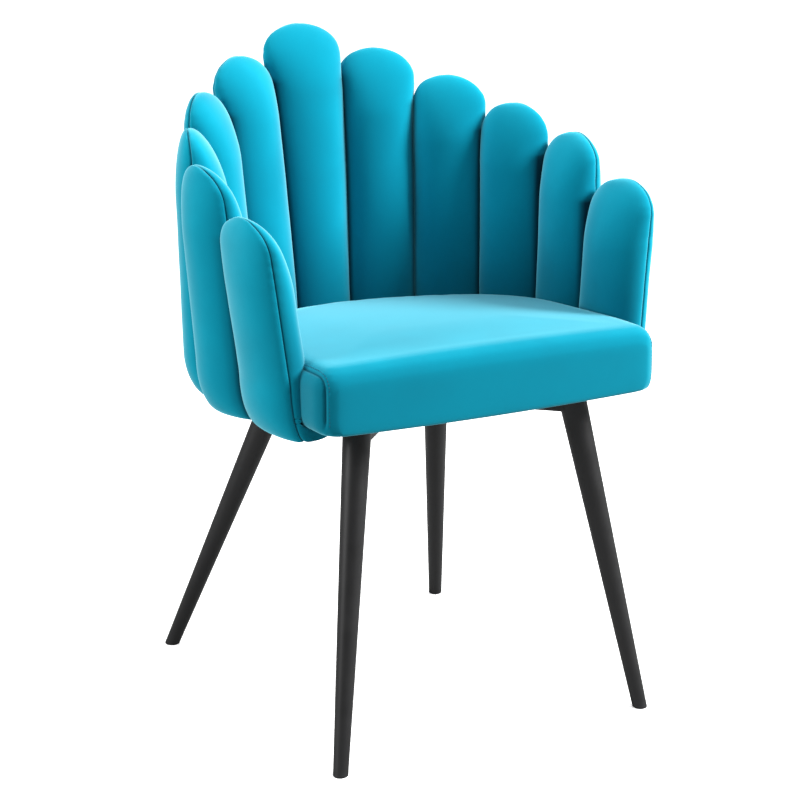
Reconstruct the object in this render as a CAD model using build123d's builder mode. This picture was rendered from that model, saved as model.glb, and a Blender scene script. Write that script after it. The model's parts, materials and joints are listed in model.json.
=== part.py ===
from build123d import *
import os
from math import cos, radians, sin, tan

os.makedirs("parts", exist_ok=True)

# Upholstered dining chair, millimetres and degrees. +Y points to the back of the chair and +Z up,
# and the origin lies on the floor under the middle of the chair.

# Legs, tapered steel tubes splayed outwards
LEG_TOP_DIAMETER = 36.0
LEG_FOOT_DIAMETER = 19.0
LEG_WALL = 1.5
FRONT_FOOT_X = 223.0
FRONT_FOOT_Y = -266.0
REAR_FOOT_X = 215.0
REAR_FOOT_Y = 251.0
FRONT_LEG_TOP_X = 156.0
FRONT_LEG_TOP_Y = -190.0
REAR_LEG_TOP_X = 116.0
REAR_LEG_TOP_Y = 84.0
GLIDE_HEIGHT = 8.0
GLIDE_STEM = 22.0
GLIDE_CHAMFER = 1.2
GLIDE_CLEARANCE = 0.15

# Cross frame of square tube that carries the seat
UNDERSIDE = 417.0
BAR_WIDTH = 30.0
BAR_HEIGHT = 22.0
BAR_WALL = 2.0
BAR_CORNER = 4.0
WELD_GAP = 0.2
BOLT_SETBACK = 75.0
BOLT_DIAMETER = 8.0
BOLT_HEAD_DIAMETER = 14.0
BOLT_HEAD_HEIGHT = 4.4
BOLT_SOCKET = 5.0
BOLT_CLEARANCE = 0.4
WASHER_DIAMETER = 18.0
WASHER_THICKNESS = 1.6
NUT_FLANGE_DIAMETER = 22.0
NUT_FLANGE_THICKNESS = 1.6
NUT_BARREL_DIAMETER = 10.5
NUT_BARREL_LENGTH = 8.0

# Boards, dust cover and screws
DUST_COVER_THICKNESS = 1.0
DUST_COVER_INSET = 6.0
BASE_BOARD_THICKNESS = 12.0
BASE_BOARD_SIDE_INSET = 44.0
BASE_BOARD_FRONT_SETBACK = 80.0
SEAT_BOARD_THICKNESS = 12.0
SCREW_DIAMETER = 4.0
SCREW_HEAD_DIAMETER = 8.0
SCREW_HEAD_HEIGHT = 2.4
SCREW_BITE = 9.0
SEAT_SCREW_X = 140.0
SEAT_SCREW_FRONT_Y = -150.0
SEAT_SCREW_REAR_Y = 50.0

# Seat cushion
SEAT_FRONT_Y = -265.0
SEAT_THICKNESS = 83.0
SEAT_CROWN_Y = -225.0
SEAT_CROWN_RADIUS = 2750.0
SEAT_SIDE_CROWN_RADIUS = 9000.0
SEAT_CORNER_RADIUS = 24.0
SEAT_TOP_EDGE_RADIUS = 20.0
SEAT_LOWER_EDGE_RADIUS = 6.0
SEAT_HEM_WIDTH = 88.0
SEAT_SIDE_SEAM_INSET = 14.0
SEAT_PRESS = 14.0
SEAT_CLEARANCE = 0.5
COVER_THICKNESS = 2.0
FOAM_CLEARANCE = 0.3

# U-shaped plan of the fingers' middle layer: back arc, arm arcs, then straight arms
PLAN_RISE = 65.0
BACK_Y = 207.0
BACK_RADIUS = 252.0
BACK_HALF_ANGLE = 52.0
ARM_RADIUS = 268.0
LEAN_BACK = 3.8
LEAN_OUT = 1.7

# Fingers, from the middle of the back to the front of the arm
FINGER_RISES = (439.0, 403.0, 367.0, 335.0, 305.0, 260.0)
FINGER_PITCH = 96.0
FRONT_FINGER_HALF_WIDTH = 66.0
FRONT_TAPER = 12.0
FINGER_THICKNESS = 67.0
FINGER_GAP = 0.6
CONTACT_DEPTH = 26.0
CONTACT_ROUNDING = 12.0
DOME_HEIGHT = 46.0
DOME_DEPTH = 36.0
DOME_POWER = 2.3
TIP_SETBACK = 7.0
UNDERCUT_HEIGHT = 62.0
UNDERCUT_LEFT = 0.5

# Staves in the fingers and the bent rail that they are screwed to
STAVE_WIDTH = 56.0
STAVE_THICKNESS = 9.0
STAVE_TOP_DROP = 45.0
STAVE_CLEARANCE = 0.3
STAVE_SCREW_SPACING = 30.0
RAIL_HEIGHT = 34.0
RAIL_THICKNESS = 12.0
RAIL_SETBACK = 14.0
RAIL_CLEARANCE = 0.5

BOARD_BOTTOM = UNDERSIDE + DUST_COVER_THICKNESS
BOARD_TOP = BOARD_BOTTOM + BASE_BOARD_THICKNESS
SEAT_BOARD_BOTTOM = BOARD_TOP + COVER_THICKNESS
SEAT_BOARD_TOP = SEAT_BOARD_BOTTOM + SEAT_BOARD_THICKNESS
RAIL_TOP = BOARD_TOP + RAIL_HEIGHT
BAR_BOTTOM = UNDERSIDE - BAR_HEIGHT
BAR_MIDDLE = UNDERSIDE - BAR_HEIGHT / 2
SEAT_CROWN_HEIGHT = BOARD_TOP + SEAT_THICKNESS
PLAN_HEIGHT = UNDERSIDE + PLAN_RISE
FINGER_TOPS = tuple(UNDERSIDE + rise for rise in FINGER_RISES)
FINGER_BOTTOM = UNDERSIDE - COVER_THICKNESS - FOAM_CLEARANCE
OUT_SLOPE = tan(radians(LEAN_OUT))
BACK_SLOPE = tan(radians(LEAN_BACK))
LEAN_STRETCH = Vector(0, OUT_SLOPE + BACK_SLOPE, 1).length
FOAM_INSET = COVER_THICKNESS + FOAM_CLEARANCE

BACK_CENTRE = Vector(0, BACK_Y - BACK_RADIUS)
ARM_SHIFT = BACK_RADIUS - ARM_RADIUS
ARM_CENTRE = BACK_CENTRE + Vector(sin(radians(BACK_HALF_ANGLE)), cos(radians(BACK_HALF_ANGLE))) * ARM_SHIFT
ARM_X = ARM_CENTRE.X + ARM_RADIUS
BACK_HALF_LENGTH = BACK_RADIUS * radians(BACK_HALF_ANGLE)
ARM_ARC_ANGLE = 90 - BACK_HALF_ANGLE
CURVED_HALF_LENGTH = BACK_HALF_LENGTH + ARM_RADIUS * radians(ARM_ARC_ANGLE)
FRONT_FINGER = len(FINGER_TOPS) - 1
ARM_END = FRONT_FINGER * FINGER_PITCH + FRONT_FINGER_HALF_WIDTH
RAIL_END_Y = ARM_CENTRE.Y - (ARM_END - RAIL_SETBACK - CURVED_HALF_LENGTH)
SEAT_OFFSET = SEAT_PRESS - FINGER_THICKNESS / 2
SEAT_HALF_WIDTH = ARM_X + SEAT_OFFSET


def save(part, name):
    """Label a finished piece and write it as a node."""
    part.label = name
    export_step(part, f"parts/{name}.step")


def save_both_sides(part, name, number):
    """Write a finger's piece and its mirror image, counted from the left arm to the right."""
    middle = len(FINGER_TOPS)
    save(part, f"{name}_{middle + number:02d}")
    if number:
        save(mirror(part, about=Plane.YZ), f"{name}_{middle - number:02d}")


def lean_out(height):
    """How far the fingers have moved outwards at a height."""
    return (height - PLAN_HEIGHT) * OUT_SLOPE


def lean_back(height):
    """How far the fingers have moved to the back at a height."""
    return (height - PLAN_HEIGHT) * BACK_SLOPE


def plan_frame(distance):
    """Point, outward direction and forward direction at a distance along the right half of the plan."""
    side = -1 if distance < 0 else 1
    travel = abs(distance)
    if travel <= BACK_HALF_LENGTH:
        turn = travel / BACK_RADIUS
        centre, radius = BACK_CENTRE, BACK_RADIUS
    else:
        turn = radians(BACK_HALF_ANGLE) + (travel - BACK_HALF_LENGTH) / ARM_RADIUS
        centre, radius = ARM_CENTRE, ARM_RADIUS
    straight = max(0, travel - CURVED_HALF_LENGTH)
    turn = min(turn, radians(90))
    outward = Vector(side * sin(turn), cos(turn))
    forward = Vector(cos(turn), -side * sin(turn))
    point = Vector(side * centre.X, centre.Y) + outward * radius + Vector(0, -straight)
    return point, outward, forward


def plan_line(height, offset, end_y):
    """Draw the U-shaped plan of a height at an offset, with its straight arms ended at a given place."""
    end_x = ARM_X + offset
    arm_y = ARM_CENTRE.Y + lean_back(height)
    back_y = BACK_CENTRE.Y + lean_back(height)
    Line((end_x, end_y), (end_x, arm_y))
    CenterArc((ARM_CENTRE.X, arm_y), ARM_RADIUS + offset, 0, ARM_ARC_ANGLE)
    CenterArc((0, back_y), BACK_RADIUS + offset, ARM_ARC_ANGLE, 2 * BACK_HALF_ANGLE)
    CenterArc((-ARM_CENTRE.X, arm_y), ARM_RADIUS + offset, 180 - ARM_ARC_ANGLE, ARM_ARC_ANGLE)
    Line((-end_x, arm_y), (-end_x, end_y))
    return end_x


def plan_strip(height, outer, inner, end_y):
    """A U-shaped strip between two offsets of the plan."""
    with BuildSketch(Plane.XY.offset(height)) as strip:
        with BuildLine():
            outer_x = plan_line(height, outer, end_y)
            inner_x = plan_line(height, inner, end_y)
            Line((outer_x, end_y), (inner_x, end_y))
            Line((-outer_x, end_y), (-inner_x, end_y))
        make_face()
    return strip.sketch


def rail_outer(height):
    """Offset of the rail's outer face, which the staves stand against."""
    return lean_out(height) - STAVE_THICKNESS / 2 * LEAN_STRETCH


def dome(drop, reach):
    """Share of the full width that a rounded end has at a drop below its tip."""
    if drop >= reach:
        return 1.0
    return (1 - (1 - drop / reach) ** DOME_POWER) ** (1 / DOME_POWER)


def finger_ends(number):
    """Distances along the plan at which a finger begins and ends."""
    begin = (number - 0.5) * FINGER_PITCH
    end = ARM_END if number == FRONT_FINGER else (number + 0.5) * FINGER_PITCH
    return begin, end


def finger_section(number, height, inset):
    """Pillow-shaped cross-section of a finger, crowned inside and outside, with flat flanks."""
    begin, end = finger_ends(number)
    if number == FRONT_FINGER:
        end -= FRONT_TAPER * (max(0, height - PLAN_HEIGHT) / (FINGER_TOPS[number] - PLAN_HEIGHT)) ** 2
    middle, outward, forward = plan_frame((begin + end) / 2)
    drop = FINGER_TOPS[number] - inset - height
    width_share = dome(drop, DOME_HEIGHT)
    depth_share = dome(drop, DOME_DEPTH)
    rise = min(1, (height - FINGER_BOTTOM - inset) / UNDERCUT_HEIGHT)
    fullness = UNDERCUT_LEFT + (1 - UNDERCUT_LEFT) * (1 - (1 - rise) ** 2) ** 0.5
    half_depth = FINGER_THICKNESS / 2 - inset
    shift = lean_out(height) + TIP_SETBACK * (1 - depth_share)

    def drawn_in(depth):
        """Depth of a point of the full section after the rounded top and the undercut bottom."""
        return shift + (depth * depth_share + half_depth) * fullness - half_depth

    corners = []
    for distance, inwards in ((begin, 1), (end, -1)):
        flank, flank_out, flank_forward = plan_frame(distance)
        flank += flank_forward * (inwards * (FINGER_GAP / 2 + inset))
        for side in (-1, 1):
            corner = flank + flank_out * drawn_in(side * CONTACT_DEPTH / 2)
            spare = (corner - middle).dot(forward) * (1 - width_share)
            corners.append(corner - forward * spare)
    crowns = [middle + outward * drawn_in(side * half_depth) for side in (-1, 1)]
    rounding = (CONTACT_ROUNDING - inset) * min(width_share, depth_share) * fullness
    with BuildSketch(Plane((0, lean_back(height), height))) as section:
        with BuildLine():
            Line(corners[0], corners[1])
            ThreePointArc(corners[1], crowns[1], corners[3])
            Line(corners[3], corners[2])
            ThreePointArc(corners[2], crowns[0], corners[0])
        make_face()
        fillet(section.vertices(), rounding)
    return section.sketch


def finger_sections(number, inset):
    """Cross-sections of a finger from its undercut bottom to its domed top."""
    bottom = FINGER_BOTTOM + inset
    top = FINGER_TOPS[number] - inset
    shoulder = top - DOME_HEIGHT
    waist = bottom + UNDERCUT_HEIGHT
    heights = [bottom + UNDERCUT_HEIGHT * share for share in (0, 0.03, 0.12, 0.3, 0.6, 1)]
    heights += [waist + (shoulder - waist) * share for share in (0.25, 0.5, 0.75, 1)]
    heights += [top - DOME_HEIGHT * share for share in (0.7, 0.45, 0.25, 0.1, 0.03, 0.008)]
    return [finger_section(number, height, inset) for height in heights]


def stave_plane(number):
    """Plane through a stave's middle layer, with its Y axis up along the leaning finger."""
    begin, end = finger_ends(number)
    middle, outward, forward = plan_frame((begin + end) / 2)
    rising = outward * OUT_SLOPE + Vector(0, BACK_SLOPE, 1)
    facing = rising.cross(forward)
    return Plane(origin=middle + Vector(0, 0, PLAN_HEIGHT), x_dir=rising.cross(facing), z_dir=facing)


def stave_outline(number, clearance):
    """Front outline of a stave: straight sides and a round head."""
    half = STAVE_WIDTH / 2 + clearance
    foot = (BOARD_TOP - PLAN_HEIGHT) * LEAN_STRETCH - clearance
    head = (FINGER_TOPS[number] - STAVE_TOP_DROP - PLAN_HEIGHT) * LEAN_STRETCH - STAVE_WIDTH / 2
    with BuildSketch(stave_plane(number)) as outline:
        with BuildLine():
            Polyline((-half, head), (-half, foot), (half, foot), (half, head))
            ThreePointArc((half, head), (0, head + half), (-half, head))
        make_face()
    return outline.sketch


def rail_seat_outline(number):
    """Part of a stave's front that lies against the rail."""
    half = STAVE_WIDTH / 2 + STAVE_CLEARANCE
    foot = (FINGER_BOTTOM - PLAN_HEIGHT) * LEAN_STRETCH
    head = (RAIL_TOP + RAIL_CLEARANCE - PLAN_HEIGHT) * LEAN_STRETCH
    with BuildSketch(stave_plane(number)) as outline:
        with BuildLine():
            Polyline((-half, head), (-half, foot), (half, foot), (half, head), close=True)
        make_face()
    return outline.sketch


def stave_screw_places(number):
    """Places of a stave's two screws, heads on its outer face and tips in the rail."""
    face = stave_plane(number).offset(STAVE_THICKNESS / 2)
    height = (BOARD_TOP + RAIL_HEIGHT / 2 - PLAN_HEIGHT) * LEAN_STRETCH
    shift = STAVE_SCREW_SPACING / 2
    return [face.location * Location((across, height)) for across in (-shift, shift)]


def upward(x, y, height):
    """A place for a screw driven straight up, with its head at a height."""
    return Location((x, y, height), (180, 0, 0))


def countersunk_screw(length):
    """A screw with its head's flat face at the origin and its shank pointing down."""
    with BuildPart() as screw:
        with BuildSketch(Plane.XZ):
            with BuildLine():
                Polyline(
                    (0, 0),
                    (SCREW_HEAD_DIAMETER / 2, 0),
                    (SCREW_DIAMETER / 2, -SCREW_HEAD_HEIGHT),
                    (SCREW_DIAMETER / 2, -length + SCREW_DIAMETER / 2),
                    (0, -length),
                    close=True,
                )
            make_face()
        revolve(axis=Axis.Z)
    return screw.part


def seat_outline(height, inset):
    """Outline of the seat: the fingers' plan behind, straight sides and a straight front."""
    front = SEAT_FRONT_Y + inset
    with BuildSketch(Plane.XY.offset(height)) as outline:
        with BuildLine():
            side = plan_line(BOARD_TOP, SEAT_OFFSET - inset, front)
            Line((-side, front), (side, front))
        make_face()
        if inset < SEAT_CORNER_RADIUS:
            fillet(outline.vertices().group_by(Axis.Y)[0], SEAT_CORNER_RADIUS - inset)
    return outline.sketch


def seat_crown(inset):
    """Barrel whose upper side is the seat's crowned top."""
    reach = SEAT_HALF_WIDTH + FINGER_THICKNESS
    radius = SEAT_SIDE_CROWN_RADIUS - inset
    top = SEAT_CROWN_HEIGHT - inset
    axle = SEAT_CROWN_HEIGHT - SEAT_CROWN_RADIUS
    edge = top - radius + (radius**2 - reach**2) ** 0.5
    with BuildPart() as crown:
        with BuildSketch(Plane.XZ.offset(-SEAT_CROWN_Y)):
            with BuildLine():
                ThreePointArc((-reach, edge), (0, top), (reach, edge))
                Polyline((reach, edge), (reach, axle), (-reach, axle), (-reach, edge))
            make_face()
        revolve(axis=Axis((0, SEAT_CROWN_Y, axle), (1, 0, 0)))
    return crown.part


def seat_block(bottom, inset):
    """Crowned seat cushion, highest near the front edge, with a rounded rim."""
    with BuildPart() as block:
        extrude(seat_outline(bottom, inset), amount=SEAT_CROWN_HEIGHT - inset - bottom)
        add(seat_crown(inset), mode=Mode.INTERSECT)
        fillet(block.faces().sort_by(Axis.Z)[-1].edges(), SEAT_TOP_EDGE_RADIUS - inset)
    return block.part


def board_outline(height, inset):
    """Outline of the base board: under the rail behind, narrower in front of the arms."""
    rim = rail_outer(BOARD_BOTTOM) - RAIL_CLEARANCE - inset
    rear_y = RAIL_END_Y + inset
    front_x = SEAT_HALF_WIDTH - BASE_BOARD_SIDE_INSET - inset
    front_y = SEAT_FRONT_Y + BASE_BOARD_FRONT_SETBACK + inset
    with BuildSketch(Plane.XY.offset(height)) as outline:
        with BuildLine():
            end_x = plan_line(BOARD_BOTTOM, rim, rear_y)
            Polyline(
                (end_x, rear_y),
                (front_x, rear_y),
                (front_x, front_y),
                (-front_x, front_y),
                (-front_x, rear_y),
                (-end_x, rear_y),
            )
        make_face()
    return outline.sketch


# Leg axes, from the floor to the cross frame's top face
LEGS = {}
for depth, foot_x, foot_y, top_x, top_y in (
    ("front", FRONT_FOOT_X, FRONT_FOOT_Y, FRONT_LEG_TOP_X, FRONT_LEG_TOP_Y),
    ("rear", REAR_FOOT_X, REAR_FOOT_Y, REAR_LEG_TOP_X, REAR_LEG_TOP_Y),
):
    for hand, side in (("left", -1), ("right", 1)):
        foot = Vector(side * foot_x, foot_y, 0)
        LEGS[f"{depth}_{hand}"] = (foot, Vector(side * top_x, top_y, UNDERSIDE))


def leg_point(leg, height):
    """Point of a leg's axis at a height."""
    foot, top = LEGS[leg]
    return foot + (top - foot) * (height / UNDERSIDE)


def leg_sections(leg, low, high, inwards):
    """Round sections of a leg's taper where its axis passes two heights."""
    foot, top = LEGS[leg]
    sections = []
    for height in (low, high):
        diameter = LEG_FOOT_DIAMETER + (LEG_TOP_DIAMETER - LEG_FOOT_DIAMETER) * height / UNDERSIDE
        with BuildSketch(Plane(origin=leg_point(leg, height), z_dir=top - foot)) as section:
            Circle(diameter / 2 - inwards)
        sections.append(section.sketch)
    return sections


leg_low = -LEG_FOOT_DIAMETER
leg_high = UNDERSIDE + LEG_TOP_DIAMETER
leg_forms = {}
for leg in LEGS:
    with BuildPart() as leg_form:
        loft(leg_sections(leg, leg_low, leg_high, 0))
        split(bisect_by=Plane.XY.offset(UNDERSIDE), keep=Keep.BOTTOM)
    leg_forms[leg] = leg_form.part

    with BuildPart() as tube:
        add(leg_form.part)
        split(bisect_by=Plane.XY.offset(GLIDE_HEIGHT), keep=Keep.TOP)
        loft(leg_sections(leg, leg_low, leg_high, LEG_WALL), mode=Mode.SUBTRACT)
    save(tube.part, f"leg_{leg}")

    with BuildPart() as glide:
        add(leg_form.part)
        split(bisect_by=Plane.XY.offset(GLIDE_HEIGHT), keep=Keep.BOTTOM)
        split(bisect_by=Plane.XY, keep=Keep.TOP)
        chamfer(glide.faces().sort_by(Axis.Z)[0].edges(), GLIDE_CHAMFER)
        stem = LEG_WALL + GLIDE_CLEARANCE
        loft(leg_sections(leg, GLIDE_HEIGHT / 2, GLIDE_HEIGHT + GLIDE_STEM, stem))
    save(glide.part, f"foot_glide_{leg}")


def bar_plane(start, end):
    """Plane square to a bar's run, with its Y axis up."""
    return Plane(origin=start, x_dir=(end - start).cross(Vector(0, 0, 1)) * -1, z_dir=end - start)


def bar_profile(start, end, wall):
    """Outer outline of a bar, or its bore where a wall is given."""
    with BuildSketch(bar_plane(start, end)) as profile:
        RectangleRounded(BAR_WIDTH - 2 * wall, BAR_HEIGHT - 2 * wall, BAR_CORNER - wall)
    return profile.sketch


def frame_bolt_places():
    """Places of the frame's bolts on the bars, at the bars' lower face."""
    places = []
    for leg, far_leg in (
        ("front_right", "rear_left"),
        ("rear_left", "front_right"),
        ("front_left", "rear_right"),
        ("rear_right", "front_left"),
    ):
        start = leg_point(leg, BAR_MIDDLE)
        along = (leg_point(far_leg, BAR_MIDDLE) - start).normalized()
        spot = start + along * BOLT_SETBACK
        places.append((spot.X, spot.Y))
    return places


BOLTS = frame_bolt_places()

# Two crossing bars: one runs through, and the other is cut in two and welded to its sides
long_start = leg_point("front_right", BAR_MIDDLE)
long_end = leg_point("rear_left", BAR_MIDDLE)
half_start = leg_point("front_left", BAR_MIDDLE)
half_end = leg_point("rear_right", BAR_MIDDLE)
cross_share = FRONT_LEG_TOP_X / (FRONT_LEG_TOP_X + REAR_LEG_TOP_X)
crossing = long_start + (long_end - long_start) * cross_share

with BuildPart() as long_bar_form:
    extrude(bar_profile(long_start, long_end, 0), amount=(long_end - long_start).length)

for name, start, end, legs in (
    ("cross_bar_long", long_start, long_end, ("front_right", "rear_left")),
    ("cross_bar_front_half", half_start, crossing, ("front_left",)),
    ("cross_bar_rear_half", half_end, crossing, ("rear_right",)),
):
    with BuildPart() as bar:
        run = (end - start).length
        extrude(bar_profile(start, end, 0), amount=run)
        extrude(bar_profile(start, end, BAR_WALL), amount=run, mode=Mode.SUBTRACT)
        for leg in legs:
            loft(leg_sections(leg, leg_low, leg_high, -WELD_GAP), mode=Mode.SUBTRACT)
        if end is crossing:
            add(offset(long_bar_form.part, WELD_GAP, mode=Mode.PRIVATE), mode=Mode.SUBTRACT)
        with Locations(*((x, y, BAR_MIDDLE) for x, y in BOLTS)):
            Cylinder((BOLT_DIAMETER + BOLT_CLEARANCE) / 2, BAR_HEIGHT + BAR_WALL, mode=Mode.SUBTRACT)
    save(bar.part, name)

with BuildPart() as washers:
    with BuildSketch(Plane.XY.offset(BAR_BOTTOM)):
        with Locations(*BOLTS):
            Circle(WASHER_DIAMETER / 2)
            Circle((BOLT_DIAMETER + BOLT_CLEARANCE) / 2, mode=Mode.SUBTRACT)
    extrude(amount=-WASHER_THICKNESS)
save(washers.part, "bolt_washers")

with BuildPart() as bolts:
    seat = BAR_BOTTOM - WASHER_THICKNESS
    with BuildSketch(Plane.XY.offset(seat)):
        with Locations(*BOLTS):
            Circle(BOLT_HEAD_DIAMETER / 2)
    extrude(amount=-BOLT_HEAD_HEIGHT)
    fillet(bolts.edges().group_by(Axis.Z)[0], BOLT_HEAD_HEIGHT / 2)
    with BuildSketch(Plane.XY.offset(seat)):
        with Locations(*BOLTS):
            Circle(BOLT_DIAMETER / 2)
    extrude(amount=BOARD_TOP - NUT_FLANGE_THICKNESS - seat)
    with BuildSketch(Plane.XY.offset(seat - BOLT_HEAD_HEIGHT)):
        with Locations(*BOLTS):
            RegularPolygon(BOLT_SOCKET / 2, 6, major_radius=False)
    extrude(amount=BOLT_HEAD_HEIGHT / 2, mode=Mode.SUBTRACT)
save(bolts.part, "frame_bolts")


def nut_form(bore):
    """Tee nuts, flange upwards and flush with the base board."""
    with BuildPart() as form:
        with Locations(*((x, y, BOARD_TOP) for x, y in BOLTS)):
            top = (Align.CENTER, Align.CENTER, Align.MAX)
            Cylinder(NUT_FLANGE_DIAMETER / 2, NUT_FLANGE_THICKNESS, align=top)
            Cylinder(NUT_BARREL_DIAMETER / 2, NUT_FLANGE_THICKNESS + NUT_BARREL_LENGTH, align=top)
            if bore:
                length = 2 * (NUT_FLANGE_THICKNESS + NUT_BARREL_LENGTH)
                Cylinder(bore / 2, length, mode=Mode.SUBTRACT)
    return form.part


save(nut_form(BOLT_DIAMETER), "tee_nuts")

# Wooden carcass
rail_middle = rail_outer(BOARD_TOP) - RAIL_THICKNESS / 2
RAIL_SCREWS = []
for number in range(FRONT_FINGER):
    for side in (-1, 1):
        point, outward, forward = plan_frame(side * (number + 0.5) * FINGER_PITCH)
        spot = point + outward * rail_middle + Vector(0, lean_back(BOARD_TOP))
        RAIL_SCREWS.append(upward(spot.X, spot.Y, BOARD_BOTTOM))
SEAT_SCREWS = [
    upward(side * SEAT_SCREW_X, y, BOARD_BOTTOM)
    for side in (-1, 1)
    for y in (SEAT_SCREW_FRONT_Y, SEAT_SCREW_REAR_Y)
]
stave_screw = countersunk_screw(STAVE_THICKNESS + SCREW_BITE)
rail_screw = countersunk_screw(BASE_BOARD_THICKNESS + 2 * SCREW_BITE)
seat_screw = countersunk_screw(BASE_BOARD_THICKNESS + COVER_THICKNESS + SCREW_BITE)

with BuildPart() as dust_cover:
    extrude(board_outline(UNDERSIDE, DUST_COVER_INSET), amount=DUST_COVER_THICKNESS)
    with Locations(*((x, y, UNDERSIDE) for x, y in BOLTS)):
        Cylinder((BOLT_DIAMETER + BOLT_CLEARANCE) / 2, 2 * DUST_COVER_THICKNESS + 1, mode=Mode.SUBTRACT)
save(dust_cover.part, "dust_cover")

with BuildPart() as base_board:
    extrude(board_outline(BOARD_BOTTOM, 0), amount=BASE_BOARD_THICKNESS)
    with Locations(*((x, y, BOARD_BOTTOM) for x, y in BOLTS)):
        Cylinder((BOLT_DIAMETER + BOLT_CLEARANCE) / 2, 2 * BASE_BOARD_THICKNESS, mode=Mode.SUBTRACT)
    add(nut_form(0), mode=Mode.SUBTRACT)
    with Locations(*RAIL_SCREWS):
        add(rail_screw, mode=Mode.SUBTRACT)
    with Locations(*SEAT_SCREWS):
        add(seat_screw, mode=Mode.SUBTRACT)
save(base_board.part, "base_board")

with BuildPart() as arm_stave_screws:
    for number in range(1, len(FINGER_TOPS)):
        with Locations(*stave_screw_places(number)):
            add(stave_screw)

with BuildPart() as stave_screws:
    with Locations(*stave_screw_places(0)):
        add(stave_screw)
    add(arm_stave_screws.part)
    mirror(arm_stave_screws.part, about=Plane.YZ)
save(stave_screws.part, "stave_screws")

with BuildPart() as rail_screws:
    with Locations(*RAIL_SCREWS):
        add(rail_screw)
save(rail_screws.part, "rail_screws")

with BuildPart() as seat_screws:
    with Locations(*SEAT_SCREWS):
        add(seat_screw)
save(seat_screws.part, "seat_screws")

with BuildPart() as back_rail:
    loft(
        [
            plan_strip(height, rail_outer(height), rail_outer(height) - RAIL_THICKNESS, RAIL_END_Y)
            for height in (BOARD_TOP, RAIL_TOP)
        ],
        ruled=True,
    )
    add(rail_screws.part, mode=Mode.SUBTRACT)
    add(stave_screws.part, mode=Mode.SUBTRACT)
save(back_rail.part, "back_rail")

# Room for the rail and the base board in the lower inner side of the fingers
with BuildPart() as rail_room:
    loft(
        [
            plan_strip(
                height,
                rail_outer(height) + FOAM_CLEARANCE,
                rail_outer(height) - FINGER_THICKNESS,
                RAIL_END_Y - RAIL_CLEARANCE,
            )
            for height in (UNDERSIDE, RAIL_TOP + RAIL_CLEARANCE)
        ],
        ruled=True,
    )

# Room for the seat, which presses into the fingers
with BuildPart() as seat_room:
    add(seat_block(BOARD_TOP, -SEAT_CLEARANCE))

# Fingers: a stave in a foam pad in a velvet sleeve
for number in range(len(FINGER_TOPS)):
    with BuildPart() as stave:
        extrude(stave_outline(number, 0), amount=STAVE_THICKNESS / 2, both=True)
        with Locations(*stave_screw_places(number)):
            add(stave_screw, mode=Mode.SUBTRACT)
    save_both_sides(stave.part, "finger_stave", number)

    with BuildPart() as foam:
        loft(finger_sections(number, FOAM_INSET))
        slack = STAVE_THICKNESS / 2 + STAVE_CLEARANCE
        extrude(stave_outline(number, STAVE_CLEARANCE), amount=slack, both=True, mode=Mode.SUBTRACT)
        extrude(rail_seat_outline(number), amount=-FINGER_THICKNESS, mode=Mode.SUBTRACT)
        add(rail_room.part, mode=Mode.SUBTRACT)
        add(seat_room.part, mode=Mode.SUBTRACT)
    save_both_sides(foam.part, "finger_foam", number)

    with BuildPart() as sleeve:
        loft(finger_sections(number, 0))
        loft(finger_sections(number, COVER_THICKNESS), mode=Mode.SUBTRACT)
        add(rail_room.part, mode=Mode.SUBTRACT)
        add(seat_room.part, mode=Mode.SUBTRACT)
    save_both_sides(sleeve.part, "finger_cover", number)

# Seat cushion: board, foam and a velvet cover of three panels
with BuildPart() as seat_board:
    extrude(seat_outline(SEAT_BOARD_BOTTOM, FOAM_INSET), amount=SEAT_BOARD_THICKNESS)
    add(seat_screws.part, mode=Mode.SUBTRACT)
save(seat_board.part, "seat_board")

with BuildPart() as seat_foam:
    add(seat_block(SEAT_BOARD_TOP, FOAM_INSET))
save(seat_foam.part, "seat_foam")

with BuildPart() as seat_cover:
    add(seat_block(BOARD_TOP, 0))
    fillet(seat_cover.faces().sort_by(Axis.Z)[0].edges(), SEAT_LOWER_EDGE_RADIUS)
    add(seat_block(SEAT_BOARD_BOTTOM, COVER_THICKNESS), mode=Mode.SUBTRACT)
    extrude(seat_outline(BOARD_TOP, SEAT_HEM_WIDTH), amount=SEAT_BOARD_THICKNESS, mode=Mode.SUBTRACT)
    add(seat_screws.part, mode=Mode.SUBTRACT)

seam_x = SEAT_HALF_WIDTH - SEAT_SIDE_SEAM_INSET
with BuildPart() as seat_middle_panel:
    add(seat_cover.part)
    split(bisect_by=Plane.YZ.offset(seam_x), keep=Keep.BOTTOM)
    split(bisect_by=Plane.YZ.offset(-seam_x), keep=Keep.TOP)
save(seat_middle_panel.part, "seat_top_panel")

with BuildPart() as seat_side_panel:
    add(seat_cover.part)
    split(bisect_by=Plane.YZ.offset(seam_x), keep=Keep.TOP)
save(seat_side_panel.part, "seat_side_panel_right")
save(mirror(seat_side_panel.part, about=Plane.YZ), "seat_side_panel_left")
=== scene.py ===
"""Velvet dining chair: eleven upholstered fingers round a cushioned seat, on splayed steel legs."""

import json
import math

import bmesh
import bpy
import numpy as np
from mathutils import Matrix, Vector
from mathutils.bvhtree import BVHTree
from mathutils.noise import noise


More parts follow.
